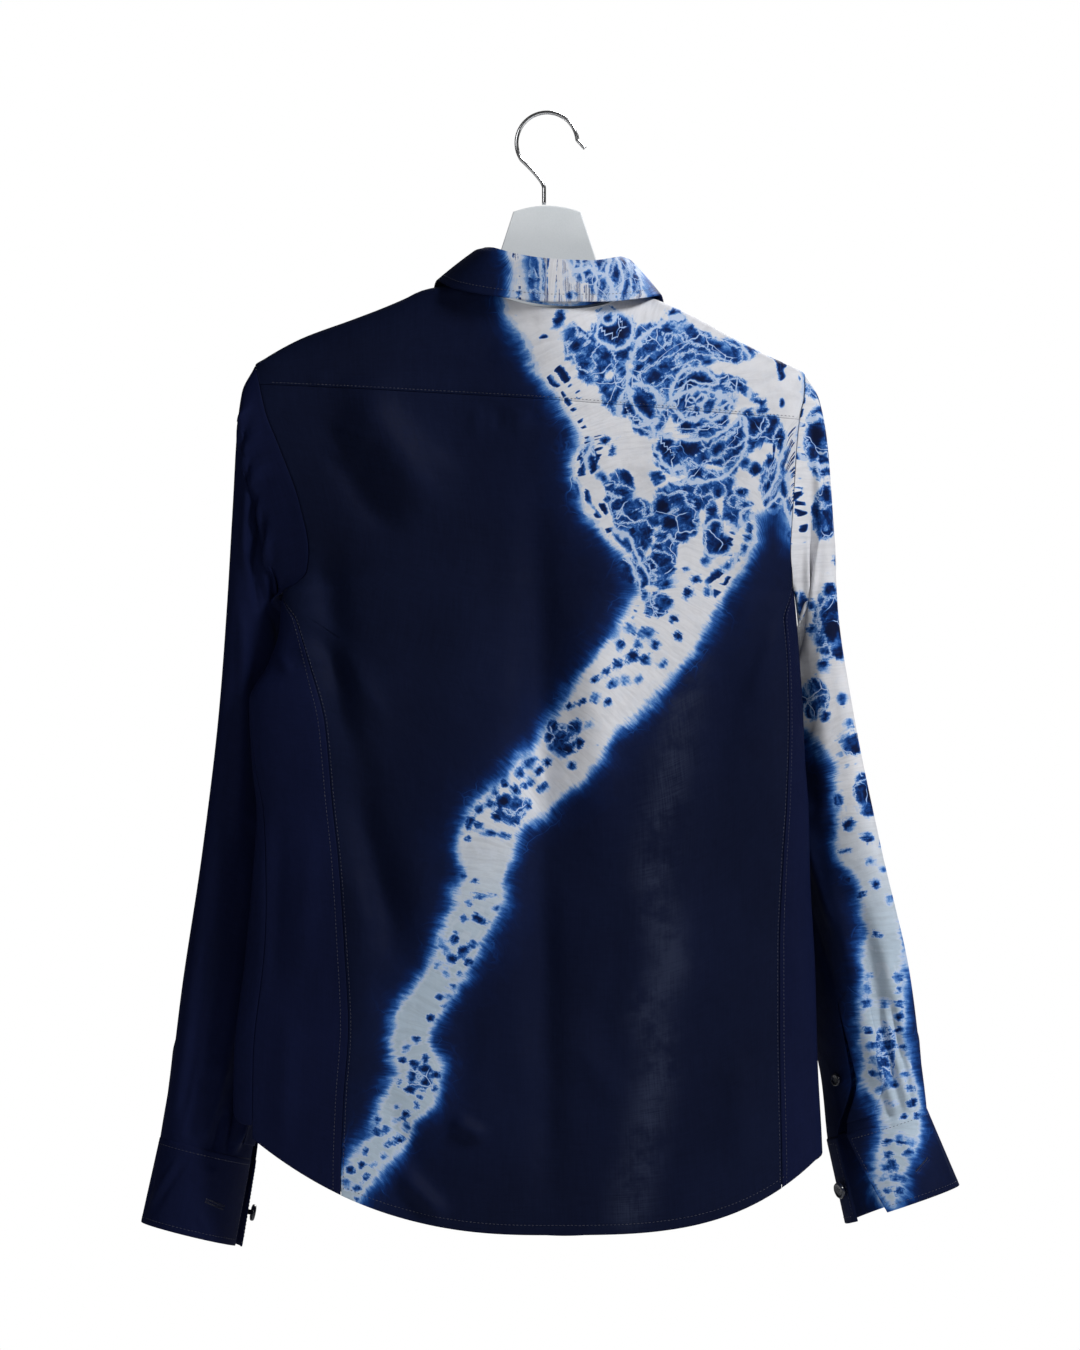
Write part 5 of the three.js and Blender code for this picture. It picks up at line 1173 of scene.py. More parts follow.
class Net:
    """Builds a material's nodes as plain sums of values."""

    def __init__(self, name):
        self.material = bpy.data.materials.new(name)
        self.material.use_nodes = True
        self.nodes, self.links = self.material.node_tree.nodes, self.material.node_tree.links
        self.shader = self.nodes["Principled BSDF"]

    def put(self, value, socket):
        if isinstance(value, bpy.types.NodeSocket):
            self.links.new(value, socket)
        elif isinstance(value, (tuple, list)) and len(value) == 3 and socket.type == "RGBA":
            socket.default_value = (*value, 1)
        else:
            socket.default_value = value

    def math(self, operation, *values, clamp=False):
        node = self.nodes.new("ShaderNodeMath")
        node.operation, node.use_clamp = operation, clamp
        for i, value in enumerate(values):
            self.put(value, node.inputs[i])
        return node.outputs[0]

    def add(self, *values):
        total = values[0]
        for value in values[1:]:
            total = self.math("ADD", total, value)
        return total

    def times(self, a, b):
        return self.math("MULTIPLY", a, b)

    def scaled(self, value, factor, plus=0.0):
        return self.math("MULTIPLY_ADD", value, factor, plus)

    def least(self, a, b):
        return self.math("MINIMUM", a, b)

    def most(self, a, b):
        return self.math("MAXIMUM", a, b)

    def field(self, name):
        node = self.nodes.new("ShaderNodeAttribute")
        node.attribute_name = name
        return node.outputs["Fac"]

    def place(self):
        node = self.nodes.new("ShaderNodeTexCoord")
        return node.outputs["Object"]

    def vector(self, x, y=0.0, z=0.0):
        node = self.nodes.new("ShaderNodeCombineXYZ")
        for i, value in enumerate((x, y, z)):
            self.put(value, node.inputs[i])
        return node.outputs[0]

    def moved(self, vector, noise, size):
        """A vector shifted by the colour of a noise."""
        node = self.nodes.new("ShaderNodeVectorMath")
        node.operation = "MULTIPLY_ADD"
        self.links.new(noise, node.inputs[0])
        node.inputs[1].default_value = (size, size, size)
        self.links.new(vector, node.inputs[2])
        return node.outputs[0]

    def noise(self, vector, scale, detail=2.0, rough=0.5, color=False, distort=0.0):
        node = self.nodes.new("ShaderNodeTexNoise")
        self.links.new(vector, node.inputs["Vector"])
        node.inputs["Scale"].default_value = scale
        node.inputs["Detail"].default_value = detail
        node.inputs["Roughness"].default_value = rough
        node.inputs["Distortion"].default_value = distort
        return node.outputs["Color" if color else 0]

    def cell_edges(self, vector, scale):
        node = self.nodes.new("ShaderNodeTexVoronoi")
        node.feature = "DISTANCE_TO_EDGE"
        self.links.new(vector, node.inputs["Vector"])
        node.inputs["Scale"].default_value = scale
        return node.outputs["Distance"]

    def height(self, vector):
        node = self.nodes.new("ShaderNodeSeparateXYZ")
        self.links.new(vector, node.inputs["Vector"])
        return node.outputs["Z"]

    def streaks(self, u, v, wide, long, detail, rough, distort=0.0):
        """Noise drawn out to wide by long millimetres along two distances."""
        return self.noise(self.vector(self.scaled(u, 1 / wide), self.scaled(v, 1 / long)),
                          1.0, detail, rough, distort=distort)

    def between(self, value, low, high, to_low=0.0, to_high=1.0, soft=True):
        node = self.nodes.new("ShaderNodeMapRange")
        node.interpolation_type = "SMOOTHSTEP" if soft else "LINEAR"
        self.put(value, node.inputs["Value"])
        for key, number in (("From Min", low), ("From Max", high), ("To Min", to_low), ("To Max", to_high)):
            self.put(number, node.inputs[key])
        return node.outputs["Result"]

    def ramp(self, value, stops, low, high):
        """Colours at stops of a value between low and high."""
        node = self.nodes.new("ShaderNodeValToRGB")
        ramp = node.color_ramp
        ramp.interpolation = "LINEAR"
        while len(ramp.elements) < len(stops):
            ramp.elements.new(0.5)
        for element, (at, color) in zip(ramp.elements, stops):
            element.position = (at - low) / (high - low)
            element.color = (*color, 1)
        self.links.new(self.between(value, low, high, soft=False), node.inputs["Fac"])
        return node.outputs["Color"]

    def blend(self, factor, a, b, mode="MIX"):
        node = self.nodes.new("ShaderNodeMix")
        node.data_type, node.blend_type = "RGBA", mode
        self.put(factor, node.inputs["Factor"])
        self.put(a, node.inputs["A"])
        self.put(b, node.inputs["B"])
        return node.outputs["Result"]

    def bump(self, height, distance, strength=1.0, normal=None):
        node = self.nodes.new("ShaderNodeBump")
        node.inputs["Strength"].default_value = strength
        node.inputs["Distance"].default_value = distance
        self.links.new(height, node.inputs["Height"])
        if normal is not None:
            self.links.new(normal, node.inputs["Normal"])
        return node.outputs["Normal"]

    def finish(self, color, roughness, normal=None, **sockets):
        self.put(color, self.shader.inputs["Base Color"])
        self.put(roughness, self.shader.inputs["Roughness"])
        if normal is not None:
            self.links.new(normal, self.shader.inputs["Normal"])
        for key, value in sockets.items():
            socket = self.shader.inputs[key.replace("_", " ")]
            socket.default_value = (*value, 1) if isinstance(value, tuple) else value
        return self.material


WEAVE, GRAIN = 0.85, 0.42  # two threads of the weave, and its finest unevenness
NAVY = (0.0030, 0.0048, 0.0190)
NAVY_LIGHT = (0.0072, 0.0110, 0.046)
# the darkest navy far from the bands: dye, and partly painted shade of folds turned from the light
INK_AND_SHADE = (0.0026, 0.0038, 0.0125)
# the second colour is painted light: the front's white band showing through the thin back
NAVY_LIT, SHOW_THROUGH_COLOR = (0.0075, 0.0120, 0.040), (0.022, 0.029, 0.060)
PAINTED_HEM_SHADE = (0.64, 0.77, 0.86)  # painted shade: what the white is multiplied by near the hem
WHITE = (0.70, 0.715, 0.76)
MATT = dict(Sheen_Weight=0.002, Sheen_Roughness=0.4, Sheen_Tint=(0.25, 0.35, 0.9), Specular_IOR_Level=0.03)
# Colour of the dye by depth inside the white, in millimetres. Far from the bands the navy darkens, partly as
# dye and partly as painted shade of folds turned from the light.
DYE_RANGE = (-90, 14)
DYE_STOPS = [
    (-90, INK_AND_SHADE), (-30, (0.0030, 0.0052, 0.022)), (-15, (0.0034, 0.0085, 0.042)), (-8, (0.0045, 0.020, 0.105)),
    (-4.4, (0.010, 0.055, 0.235)), (-2.2, (0.035, 0.13, 0.42)), (-0.3, (0.14, 0.30, 0.62)),
    (1.5, (0.42, 0.54, 0.76)), (3.6, WHITE), (14, (0.72, 0.72, 0.745)),
]


def weave(net):
    """Height and shade of a fine plain weave with slubs, by the cloth's own directions."""
    u, v = net.field("grain_u"), net.field("grain_v")
    sin_u = net.math("SINE", net.scaled(u, 2 * math.pi / WEAVE))
    sin_v = net.math("SINE", net.scaled(v, 2 * math.pi / WEAVE))
    cloth = net.times(sin_u, sin_v)
    weft = net.streaks(u, v, 26, 0.9, 2, 0.6)
    warp = net.streaks(u, v, 1.1, 34, 2, 0.6)
    grain = net.streaks(u, v, GRAIN, GRAIN, 1, 0.5)
    threads = net.add(net.scaled(weft, 0.5), net.scaled(warp, 0.5))
    return cloth, threads, grain


def surface(net, cloth, threads, grain, crinkle=None):
    height = net.add(net.scaled(cloth, 0.25), net.scaled(threads, 0.8), net.scaled(grain, 0.4))
    normal = net.bump(height, 0.00016, 0.7)
    soft = net.noise(net.place(), 46, 3, 0.55)
    normal = net.bump(soft, 0.0035, 0.35, normal)
    if crinkle is not None:
        normal = net.bump(crinkle, 0.0005, 0.4, normal)
    return normal


def navy_material():
    net = Net("navy_cloth")
    cloth, threads, grain = weave(net)
    shade = net.noise(net.place(), 7, 3, 0.5)
    tone = net.add(net.scaled(shade, 0.9), net.scaled(threads, 0.8), net.scaled(grain, 0.3), -0.5)
    color = net.blend(net.least(net.most(tone, 0.0), 1.0), NAVY, NAVY_LIGHT)
    rough = net.between(threads, 0.3, 0.7, 0.48, 0.58)
    return net.finish(color, rough, surface(net, cloth, threads, grain), **MATT)


def dyed_material():
    net = Net("dyed_cloth")
    cloth, threads, grain = weave(net)
    place = net.place()
    depth, along, blot = net.field("depth"), net.field("along"), net.field("blot")
    wash, ring, busy = net.field("wash"), net.field("ring"), net.field("busy")
    big = net.scaled(net.noise(place, 42, 2, 0.5), 16, -8)
    middle = net.scaled(net.noise(place, 120, 3, 0.6), 9, -4.5)
    small = net.scaled(net.noise(place, 420, 3, 0.65), 6, -3)
    tiny = net.scaled(net.noise(place, 1500, 2, 0.6), 2.4, -1.2)
    hair = net.streaks(along, depth, 2.4, 15, 3, 0.6)
    fringe = net.scaled(hair, 11, -5.5)
    edge = net.add(depth, big, net.scaled(middle, 0.5))
    white = net.add(edge, fringe, tiny)

    # Blots with feathered edges, navy within, and thin white outlines where the cloth is busy
    lump = net.scaled(net.noise(place, 100, 2, 0.6), 14, -6.4)
    spot = net.add(blot, net.scaled(lump, 0.5), net.scaled(middle, 0.4), net.scaled(small, 0.6), tiny)
    spot = net.add(spot, net.scaled(hair, 7, -3.6))
    deep = net.noise(place, 60, 2, 0.5)
    steep = net.between(deep, 0.35, 0.65, -1.2, -3.4)
    white = net.least(white, net.add(net.times(spot, steep), 1.5))
    # Mottled washes of mid blue
    mottle = net.noise(net.moved(place, net.noise(place, 60, 2, 0.5, color=True), 0.02), 95, 5, 0.66)
    washed = net.scaled(mottle, 38, -24.0)
    washed = net.add(washed, net.scaled(net.math("SUBTRACT", 1.0, wash), 15), tiny)
    white = net.least(white, washed)
    # Teeth in rows along the edges
    steady = net.add(edge, net.scaled(small, 0.5))
    teeth = net.streaks(along, depth, 6.5, 26, 1, 0.4)
    first = net.times(net.between(steady, 3, 6), net.between(steady, 11, 7.5))
    second = net.times(net.between(steady, 11.5, 14), net.between(steady, 23, 17))
    rows = net.most(first, second)
    tooth = net.times(net.times(rows, net.between(teeth, 0.44, 0.58)), net.scaled(busy, 0.65, 0.35))
    patchy = net.between(net.noise(place, 22, 1, 0.5), 0.38, 0.50)
    white = net.least(white, net.scaled(net.times(tooth, patchy), -24, 12))
    # Thin white lines: round the blots, on the rings, between the rows, and round cells
    warped = net.moved(place, net.noise(place, 70, 2, 0.5, color=True), 0.012)
    cracks = net.cell_edges(warped, 38)
    some = net.between(net.noise(place, 34, 1, 0.5), 0.42, 0.56, -9, 0)
    line_cell = net.add(net.scaled(cracks, -340, 4.2), some)
    line_cell = net.add(line_cell, net.scaled(net.between(wash, 0.2, 0.6), 8, -8))
    wavy_ring = net.math("ABSOLUTE", net.add(ring, net.scaled(middle, 1.3)))
    line_ring = net.scaled(wavy_ring, -3.0, 5.0)
    around = net.math("ABSOLUTE", net.add(spot, 1.2))
    line_blot = net.add(net.scaled(around, -4.0, 2.6), net.scaled(net.between(wash, 0.2, 0.6), 8, -8))
    near = net.math("ABSOLUTE", net.add(steady, -10.4))
    far = net.math("ABSOLUTE", net.add(steady, -2.2))
    line_row = net.scaled(net.least(near, far), -3.4, 5.0)
    line_row = net.add(line_row, net.scaled(busy, 8, -8))
    lines = net.most(net.most(line_cell, line_ring), net.most(line_blot, line_row))
    lines = net.least(net.least(lines, 2.0), net.add(edge, 3.5))
    lines = net.add(lines, tiny)
    white = net.most(white, lines)

    color = net.ramp(white, DYE_STOPS, *DYE_RANGE)
    # Fine creases and streaks in the white, with painted shade along them, and pale and dark threads in the
    # navy
    crinkle = net.streaks(along, depth, 3.2, 24, 4, 0.6, distort=0.6)
    # painted shade: the white is darker along the fine creases
    crease_shade = net.between(crinkle, 0.3, 0.62, 0.90, 1.02)
    tone = net.scaled(net.noise(place, 30, 3, 0.6), 0.22, 0.87)
    grey = net.times(crease_shade, tone)
    in_white = net.between(white, 1, 5)
    shaded = net.blend(in_white, (1.0, 1.0, 1.0), net.vector(grey, grey, net.scaled(grey, 0.98, 0.03)))
    color = net.blend(1.0, color, shaded, "MULTIPLY")
    # Painted shade: the white turns greyer and bluer toward the hem
    low = net.between(net.height(place), -0.52, -0.68)
    color = net.blend(net.times(in_white, low), color, PAINTED_HEM_SHADE, "MULTIPLY")
    shade = net.noise(place, 7, 3, 0.5)
    ground = net.add(net.scaled(shade, 0.9), net.scaled(threads, 0.9), net.scaled(grain, 0.35), -0.55)
    in_navy = net.between(white, -3, -14)
    lift = net.math("MULTIPLY", ground, in_navy, clamp=True)
    color = net.blend(lift, color, NAVY_LIT)
    # Painted light: the front's white band showing through the thin back, as a pale line in the navy
    show_through = net.times(net.field("show_through"), net.between(net.add(net.scaled(shade, 0.5), threads), 0.45, 0.9))
    cloud = net.between(net.noise(place, 26, 4, 0.7), 0.36, 0.6)
    show_through = net.times(net.times(show_through, in_navy), net.scaled(cloud, 0.9, 0.1))
    color = net.blend(show_through, color, SHOW_THROUGH_COLOR)
    rough = net.between(threads, 0.3, 0.7, 0.5, 0.62)
    folds = net.times(crinkle, net.between(white, 0, 4, 0.15, 1.0))
    return net.finish(color, rough, surface(net, cloth, threads, grain, folds), **MATT)


def button_material():
    net = Net("button_plastic")
    swirl = net.noise(net.place(), 160, 3, 0.6, distort=0.8)
    color = net.ramp(swirl, [(0.3, (0.0035, 0.0042, 0.010)), (0.55, (0.006, 0.008, 0.02)),
                             (0.72, (0.016, 0.02, 0.04))], 0.2, 0.8)
    rough = net.between(net.noise(net.place(), 600, 2, 0.6), 0.3, 0.7, 0.2, 0.34)
    return net.finish(color, rough, net.bump(swirl, 0.0002, 0.4), Coat_Weight=0.3, Coat_Roughness=0.15)


def board_material():
    net = Net("board_grey")
    speck = net.noise(net.place(), 900, 3, 0.7)
    cloud = net.noise(net.place(), 16, 2, 0.5)
    shade = net.add(net.scaled(speck, 0.4), net.scaled(cloud, 0.6))
    color = net.blend(net.between(shade, 0.35, 0.65), (0.78, 0.825, 0.855), (0.85, 0.89, 0.92))
    return net.finish(color, net.between(speck, 0.3, 0.7, 0.5, 0.66), net.bump(speck, 0.00015, 0.4))


def wire_material():
    net = Net("wire_chrome")
    drawn = net.noise(net.place(), 700, 2, 0.5)
    rough = net.between(drawn, 0.3, 0.7, 0.1, 0.2)
    color = net.blend(net.between(drawn, 0.35, 0.65), (0.62, 0.63, 0.65), (0.78, 0.79, 0.81))
    return net.finish(color, rough, net.bump(drawn, 0.00005, 0.3), Metallic=1.0)


def thread_material():
    net = Net("thread_navy")
    twist = net.noise(net.place(), 1800, 2, 0.6)
    color = net.blend(net.between(twist, 0.35, 0.65), (0.006, 0.009, 0.03), (0.03, 0.036, 0.075))
    return net.finish(color, 0.5, net.bump(twist, 0.0002, 0.5), Sheen_Weight=0.3, Sheen_Roughness=0.4)


navy_cloth, dyed_cloth, thread = navy_material(), dyed_material(), thread_material()
button_mat, board_mat, wire_mat = button_material(), board_material(), wire_material()


# Building the cloth pieces

RISE = steps(26)
pieces = {}
cuts = {}


def cloth_piece(name, patches, thickness=CLOTH, inset=SEAM / 2, under=()):
    obj, cut = shell(name, patches, thickness, inset, under)
    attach(obj, "root")
    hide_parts(name)
    pieces[name], cuts[name] = obj, cut


def patch(points, flip=False, dyed=None):
    """A patch with its fields; dyed names the piece whose dye it takes."""
    fields = grain_fields(points)
    if dyed:
        fields.update(dye_fields(points, DYES[dyed]))
    return points, flip, fields


dense = 0.5 * (1 - np.cos(np.pi * steps(44)))  # columns closer together at both ends
cloth_piece("yoke", [
    patch(shoulder_patch("left", dense, RISE), False, "yoke"),
    patch(yoke_back_patch(steps(60), RISE), False, "yoke"),
    patch(shoulder_patch("right", dense, RISE), True, "yoke"),
], under=[patch(yoke_strip(), False, "yoke")])
cloth_piece("back", [patch(back_panel(steps(170), steps(236)), False, "back")],
            under=[patch(princess_strip(s), False, "back") for s in SIDES]
            + [patch(armhole_strip(s, True), s == "right", "back") for s in SIDES])
for s in SIDES:
    left = s == "left"
    cloth_piece("side_" + s, [patch(side_panel(s, steps(40), steps(150)), left)], inset=0.25)
    part = front_panel(s, steps(100), steps(170))
    dyed = None if left else "front_right"
    cloth_piece("front_" + s, [patch(part, left, dyed)], under=[
        patch(armhole_strip(s, False), left, dyed), patch(side_strip(s), left, dyed)])
    u, v = grid(steps(132) * 2 * np.pi, steps(200))
    part = sleeve_point(s, sleeve_angle(s, u, v), v)
    cloth_piece("sleeve_" + s, [patch(part, not left, None if left else "sleeve_right")])
    rows = mix(PLACKET["foot"], PLACKET["point"], steps(56))
    part = placket_patch(s, steps(12), rows)
    cloth_piece("placket_" + s, [patch(part, left, None if left else "placket_right")], inset=0)
    u, v = grid(steps(180), steps(24))
    start = mix(CUFFS[s]["start"], CUFFS[s]["start_bottom"], v)
    cuff, _ = cuff_cloth(s, mix(start, CUFFS[s]["end"], u), v)
    cloth_piece("cuff_" + s, [patch(cuff, left, None if left else "cuff_right")], STIFF, 0)
deg, h = grid(mix(-COLLAR_OVERLAP, COLLAR_OVERLAP, steps(184)), steps(8))
cloth_piece("collar_stand", [patch(stand_point(deg, h), False, "collar_stand")], STIFF, 0)
deg, h = grid(mix(-LEAF_END, LEAF_END, steps(176)), 1 - steps(30))
cloth_piece("collar_leaf", [patch(leaf_point(deg, h), False, "collar_leaf")], STIFF, 0)


# Stitches

# Faces of one stitch: two ends, two sides, top and bottom
DIAMOND = ((0, 2, 4), (0, 4, 3), (0, 3, 5), (0, 5, 2), (1, 4, 2), (1, 3, 4), (1, 5, 3), (1, 2, 5))


def sewn(obj):
    obj.data.materials.append(thread)
    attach(obj, "root")


def stitches(name, rows):
    """Small raised stitches along rows of points, each row with the direction that it faces."""
    vertices, faces = [], []
    for path, up in rows:
        path = np.asarray(path, float)
        along = np.concatenate([[0], np.cumsum(np.linalg.norm(np.diff(path, axis=0), axis=1))])
        starts = np.arange(STITCH["first"], along[-1] - STITCH["length"], STITCH["pitch"])
        up = np.broadcast_to(np.asarray(up, float), path.shape)

        def at(s, values):
            return np.stack([np.interp(s, along, values[:, k]) for k in range(3)], -1)
        a, b = at(starts, path), at(starts + STITCH["length"], path)
        facing = unit(at(starts, up))
        wide = unit(np.cross(b - a, facing)) * STITCH["width"] / 2
        middle = (a + b) / 2
        corners = np.stack([a, b, middle + wide, middle - wide, middle + facing * STITCH["height"],
                            middle - facing * STITCH["height"]], 1)
        base = sum(len(v) for v in vertices)
        k = base + 6 * np.arange(len(starts))[:, None]
        for p, q, r in DIAMOND:
            faces.append(k + np.array([p, q, r, r]))
        vertices.append(corners.reshape(-1, 3))
    sewn(mesh_object(name, np.concatenate(vertices), np.concatenate(faces)))


ON_TOP = CLOTH / 2 + SEW["on_top"]
OUT = np.array([0, -1, 0])
path_rows = []
for s in SIDES:
    low = float(back_hem(princess[s](NEAR_HEM))) + 4
    z = mix(low, PRINCESS_TOP[s] - 3, steps(160))
    for off in SEW["beside"]:
        a = princess_angle(s, z) - SIGN[s] * off / HALF_WIDTH
        path_rows.append((body_point(np.clip(a, -EDGE + HAIR, EDGE - HAIR), z, ON_TOP), OUT))
x = mix(-160, 190, steps(160))
z = back_hem(x) + SEW["hem"]
path_rows.append((body_point(angle_at(x, z, True), z, ON_TOP), OUT))
stitches("stitches_back", path_rows)
x = mix(-220, 198, steps(160))
stitches("stitches_yoke", [(body_at(x, yoke_seam(x) + SEW["yoke"], np.full(x.shape, True), ON_TOP), OUT)])
CUFF_TOP = STIFF / 2 + SEW["on_top"]
for s in SIDES:
    c, edge = CUFFS[s], CUFF_SEW["edge"]
    rows = []
    for h in CUFF_SEW["heights"]:
        first = mix(c["start"], c["start_bottom"], h) - edge
        rows.append(cuff_cloth(s, mix(first, c["end"] + edge, steps(120)), h, CUFF_TOP))
    h = mix(*CUFF_SEW["heights"], steps(20))
    rows.append(cuff_cloth(s, mix(c["start"], c["start_bottom"], h) - edge, h, CUFF_TOP))
    rows.append(cuff_cloth(s, c["end"] + edge, h, CUFF_TOP))
    stitches("stitches_cuff_" + s, rows)
end = LEAF_END - LEAF_SEW["end"]
deg = mix(-end, end, steps(200))
leaf_out = vec(np.sin(deg * RAD), -np.cos(deg * RAD), np.full(deg.shape, LEAF_SEW["up"]))
at = leaf_point(deg, np.full(deg.shape, LEAF_SEW["share"]))
stitches("stitches_collar", [(at + unit(leaf_out) * (STIFF / 2 + LEAF_SEW["out"]), leaf_out)])
for s in SIDES:
    sign, edge = SIGN[s], FRONT_EDGE[s]
    z = mix(float(front_hem(edge)) + SEW["hem"], -232, steps(160))
    rows = []
    for off in SEW["button_edge"]:
        xs = np.full(z.shape, edge + sign * off)
        part = FRONT_LIFT if s == "left" else -FRONT_LIFT
        rows.append((body_at(xs, z, np.full(z.shape, False), part + ON_TOP), -OUT))
    if s == "left":
        rows = rows[1:]
    x = mix(edge + sign * 4, edge + sign * 190, steps(120))
    rows.append((body_at(x, front_hem(x) + SEW["hem"], np.full(x.shape, False), ON_TOP), -OUT))
    stitches("stitches_front_" + s, rows)


def buttonhole(name, path, facing):
    """A bound slit: close stitches across it along both sides."""
    vertices, faces = [], []
    side = unit(np.cross(path[-1] - path[0], facing.mean(0)))
    along = unit(path[-1] - path[0]) * BUTTONHOLE["thread"]
    half = side * BUTTONHOLE["half"]
    for at, out in zip(path, facing):
        for way in (1, -1):
            middle = at + side * way * BUTTONHOLE["from_middle"]
            k = len(vertices)
            vertices += [middle - half, middle + half, middle + along, middle - along,
                         middle + out * BUTTONHOLE["up"], middle - out * BUTTONHOLE["down"]]
            faces += [[k + p, k + q, k + r, k + r] for p, q, r in DIAMOND]
    sewn(mesh_object(name, np.array(vertices), np.array(faces)))


# Buttonholes by cuff: angle and share of the cuff's height at both ends
for s, deg, h in (("left", (122, 98), (0.60, 0.56)), ("right", (66, 46), (0.66, 0.56))):
    path, facing = cuff_cloth(s, mix(*deg, steps(24)), mix(*h, steps(24)), CUFF_TOP)
    buttonhole("buttonhole_cuff_" + s, path, facing)


# Buttons, hanger and hook

def tube(name, path, radius, sides):
    """A round tube along a path of points in the x-z plane, with flat ends."""
    path = np.asarray(path, float)
    along = unit(np.gradient(path, axis=0))
    across = np.cross(along, [0, 1, 0])
    turn = np.linspace(0, 2 * np.pi, sides, endpoint=False)
    rings = path[:, None] + radius * (np.cos(turn)[None, :, None] * across[:, None]
                                      + np.sin(turn)[None, :, None] * np.array([0, 1, 0]))
    n = len(path)
    k = np.arange(n * sides).reshape(n, sides)
    k2 = np.roll(k, -1, axis=1)
    faces = [np.stack([k[:-1], k2[:-1], k2[1:], k[1:]], -1).reshape(-1, 4)]
    vertices = np.concatenate([rings.reshape(-1, 3), path[[0, -1]]])
    for ring, ring2, centre, turned in ((k[0], k2[0], n * sides, 1), (k[-1], k2[-1], n * sides + 1, 0)):
        c = np.full(sides, centre)
        faces.append(np.stack([ring2, ring, c, c] if turned else [ring, ring2, c, c], -1))
    return mesh_object(name, vertices, np.concatenate(faces))


def hook_path():
    def arc(deg):
        deg = np.asarray(deg, float) * RAD
        return vec(np.cos(deg) * HOOK_RADIUS, 0, np.sin(deg) * HOOK_RADIUS + WIRE - HOOK_RADIUS)
    stem = vec(HOOK["x"], 0, mix(HOOK["foot"], HOOK["stem"], steps(6)))
    w = steps(20)[1:, None]
    a, b, c = vec(HOOK["x"], 0, HOOK["stem"]), vec(HOOK["x"], 0, HOOK["bend"]), arc(HOOK["start"])
    bend = (1 - w) ** 2 * a + 2 * w * (1 - w) * b + w * w * c
    round_ = arc(mix(HOOK["start"], HOOK["end"], steps(72)))[1:]
    w = steps(8)[1:, None]
    tip = (1 - w) * arc(HOOK["end"]) + w * np.array(HOOK["tip"], float)
    return np.concatenate([stem, bend, round_, tip])


hook = tube("hook_wire", hook_path(), WIRE, 24)
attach(hook, "root")
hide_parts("hook")


def hanger_outline():
    def bend(p, q, r, n=14):
        w = steps(n)[1:, None]
        return (1 - w) ** 2 * np.array(p) + 2 * w * (1 - w) * np.array(q) + w * w * np.array(r)
    arms = {}
    for s in SIDES:
        x = SIGN[s] * mix(BOARD["arm_from"], BOARD["arm"][s], steps(28))
        arms[s] = np.stack([x, slope_height(s, x) - BOARD["room"]], -1)
    half, z, crown = BOARD["top"]
    waist, neck, under = BOARD["waist"], BOARD["neck"], BOARD["under"]
    left, right = arms["left"], arms["right"]
    left_end = left[-1] + [BOARD["arm_back"], -BOARD["arm_deep"]]
    right_end = right[-1] - [BOARD["arm_back"], BOARD["arm_deep"]]
    return np.concatenate([
        [[-half, z]], bend((-half, z), (0, z + crown), (half, z), 20), [[waist[0], waist[1]]],
        bend(waist, neck, right[0]), right[1:], [right_end],
        bend(right_end, (under[0], under[1]), (0, under[2]), 20),
        bend((0, under[2]), (-under[0], under[1]), left_end, 20), left[::-1],
        bend(left[0], (-neck[0], neck[1]), (-waist[0], waist[1])),
    ])


def board(name, outline, thickness, bevel, rounds):
    """A flat board from its outline, with edges rounded by bevel in a number of rows."""
    outline = np.asarray(outline, float)
    edge = np.roll(outline, -1, axis=0) - outline
    normal = unit(np.stack([edge[:, 1], -edge[:, 0]], -1))
    total = normal + np.roll(normal, 1, axis=0)
    inward = -total / np.maximum(0.5, (total**2).sum(1, keepdims=True) / 2)
    if np.sum(outline[:, 0] * np.roll(outline[:, 1], -1) - np.roll(outline[:, 0], -1) * outline[:, 1]) < 0:
        inward = -inward
    rings = []
    for side in (-1, 1):
        for i in range(rounds + 1):
            turn = (i / rounds if side < 0 else 1 - i / rounds) * math.pi / 2
            p = outline + inward * bevel * (1 - math.sin(turn))
            y = side * (thickness / 2 - bevel * (1 - math.cos(turn)))
            rings.append(np.stack([p[:, 0], np.full(len(p), y), p[:, 1]], -1))
    n = len(outline)
    k = np.arange(n * len(rings)).reshape(len(rings), n)
    k2 = np.roll(k, -1, axis=1)
    faces = [list(f) for f in np.stack([k[:-1], k2[:-1], k2[1:], k[1:]], -1).reshape(-1, 4)]
    faces += [list(k[0][::-1]), list(k[-1])]
    mesh = bpy.data.meshes.new(name)
    mesh.from_pydata([list(v * MM) for v in np.concatenate(rings)], [], [[int(i) for i in f] for f in faces])
    mesh.validate()
    obj = bpy.data.objects.new(name, mesh)
    bpy.context.collection.objects.link(obj)
    mesh.shade_smooth()
    for p in mesh.polygons[-2:]:
        p.use_smooth = False
    return obj


plate = board("hanger_board", hanger_outline(), BOARD["thickness"], BOARD["bevel"], 3)
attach(plate, "root")
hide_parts("hanger")


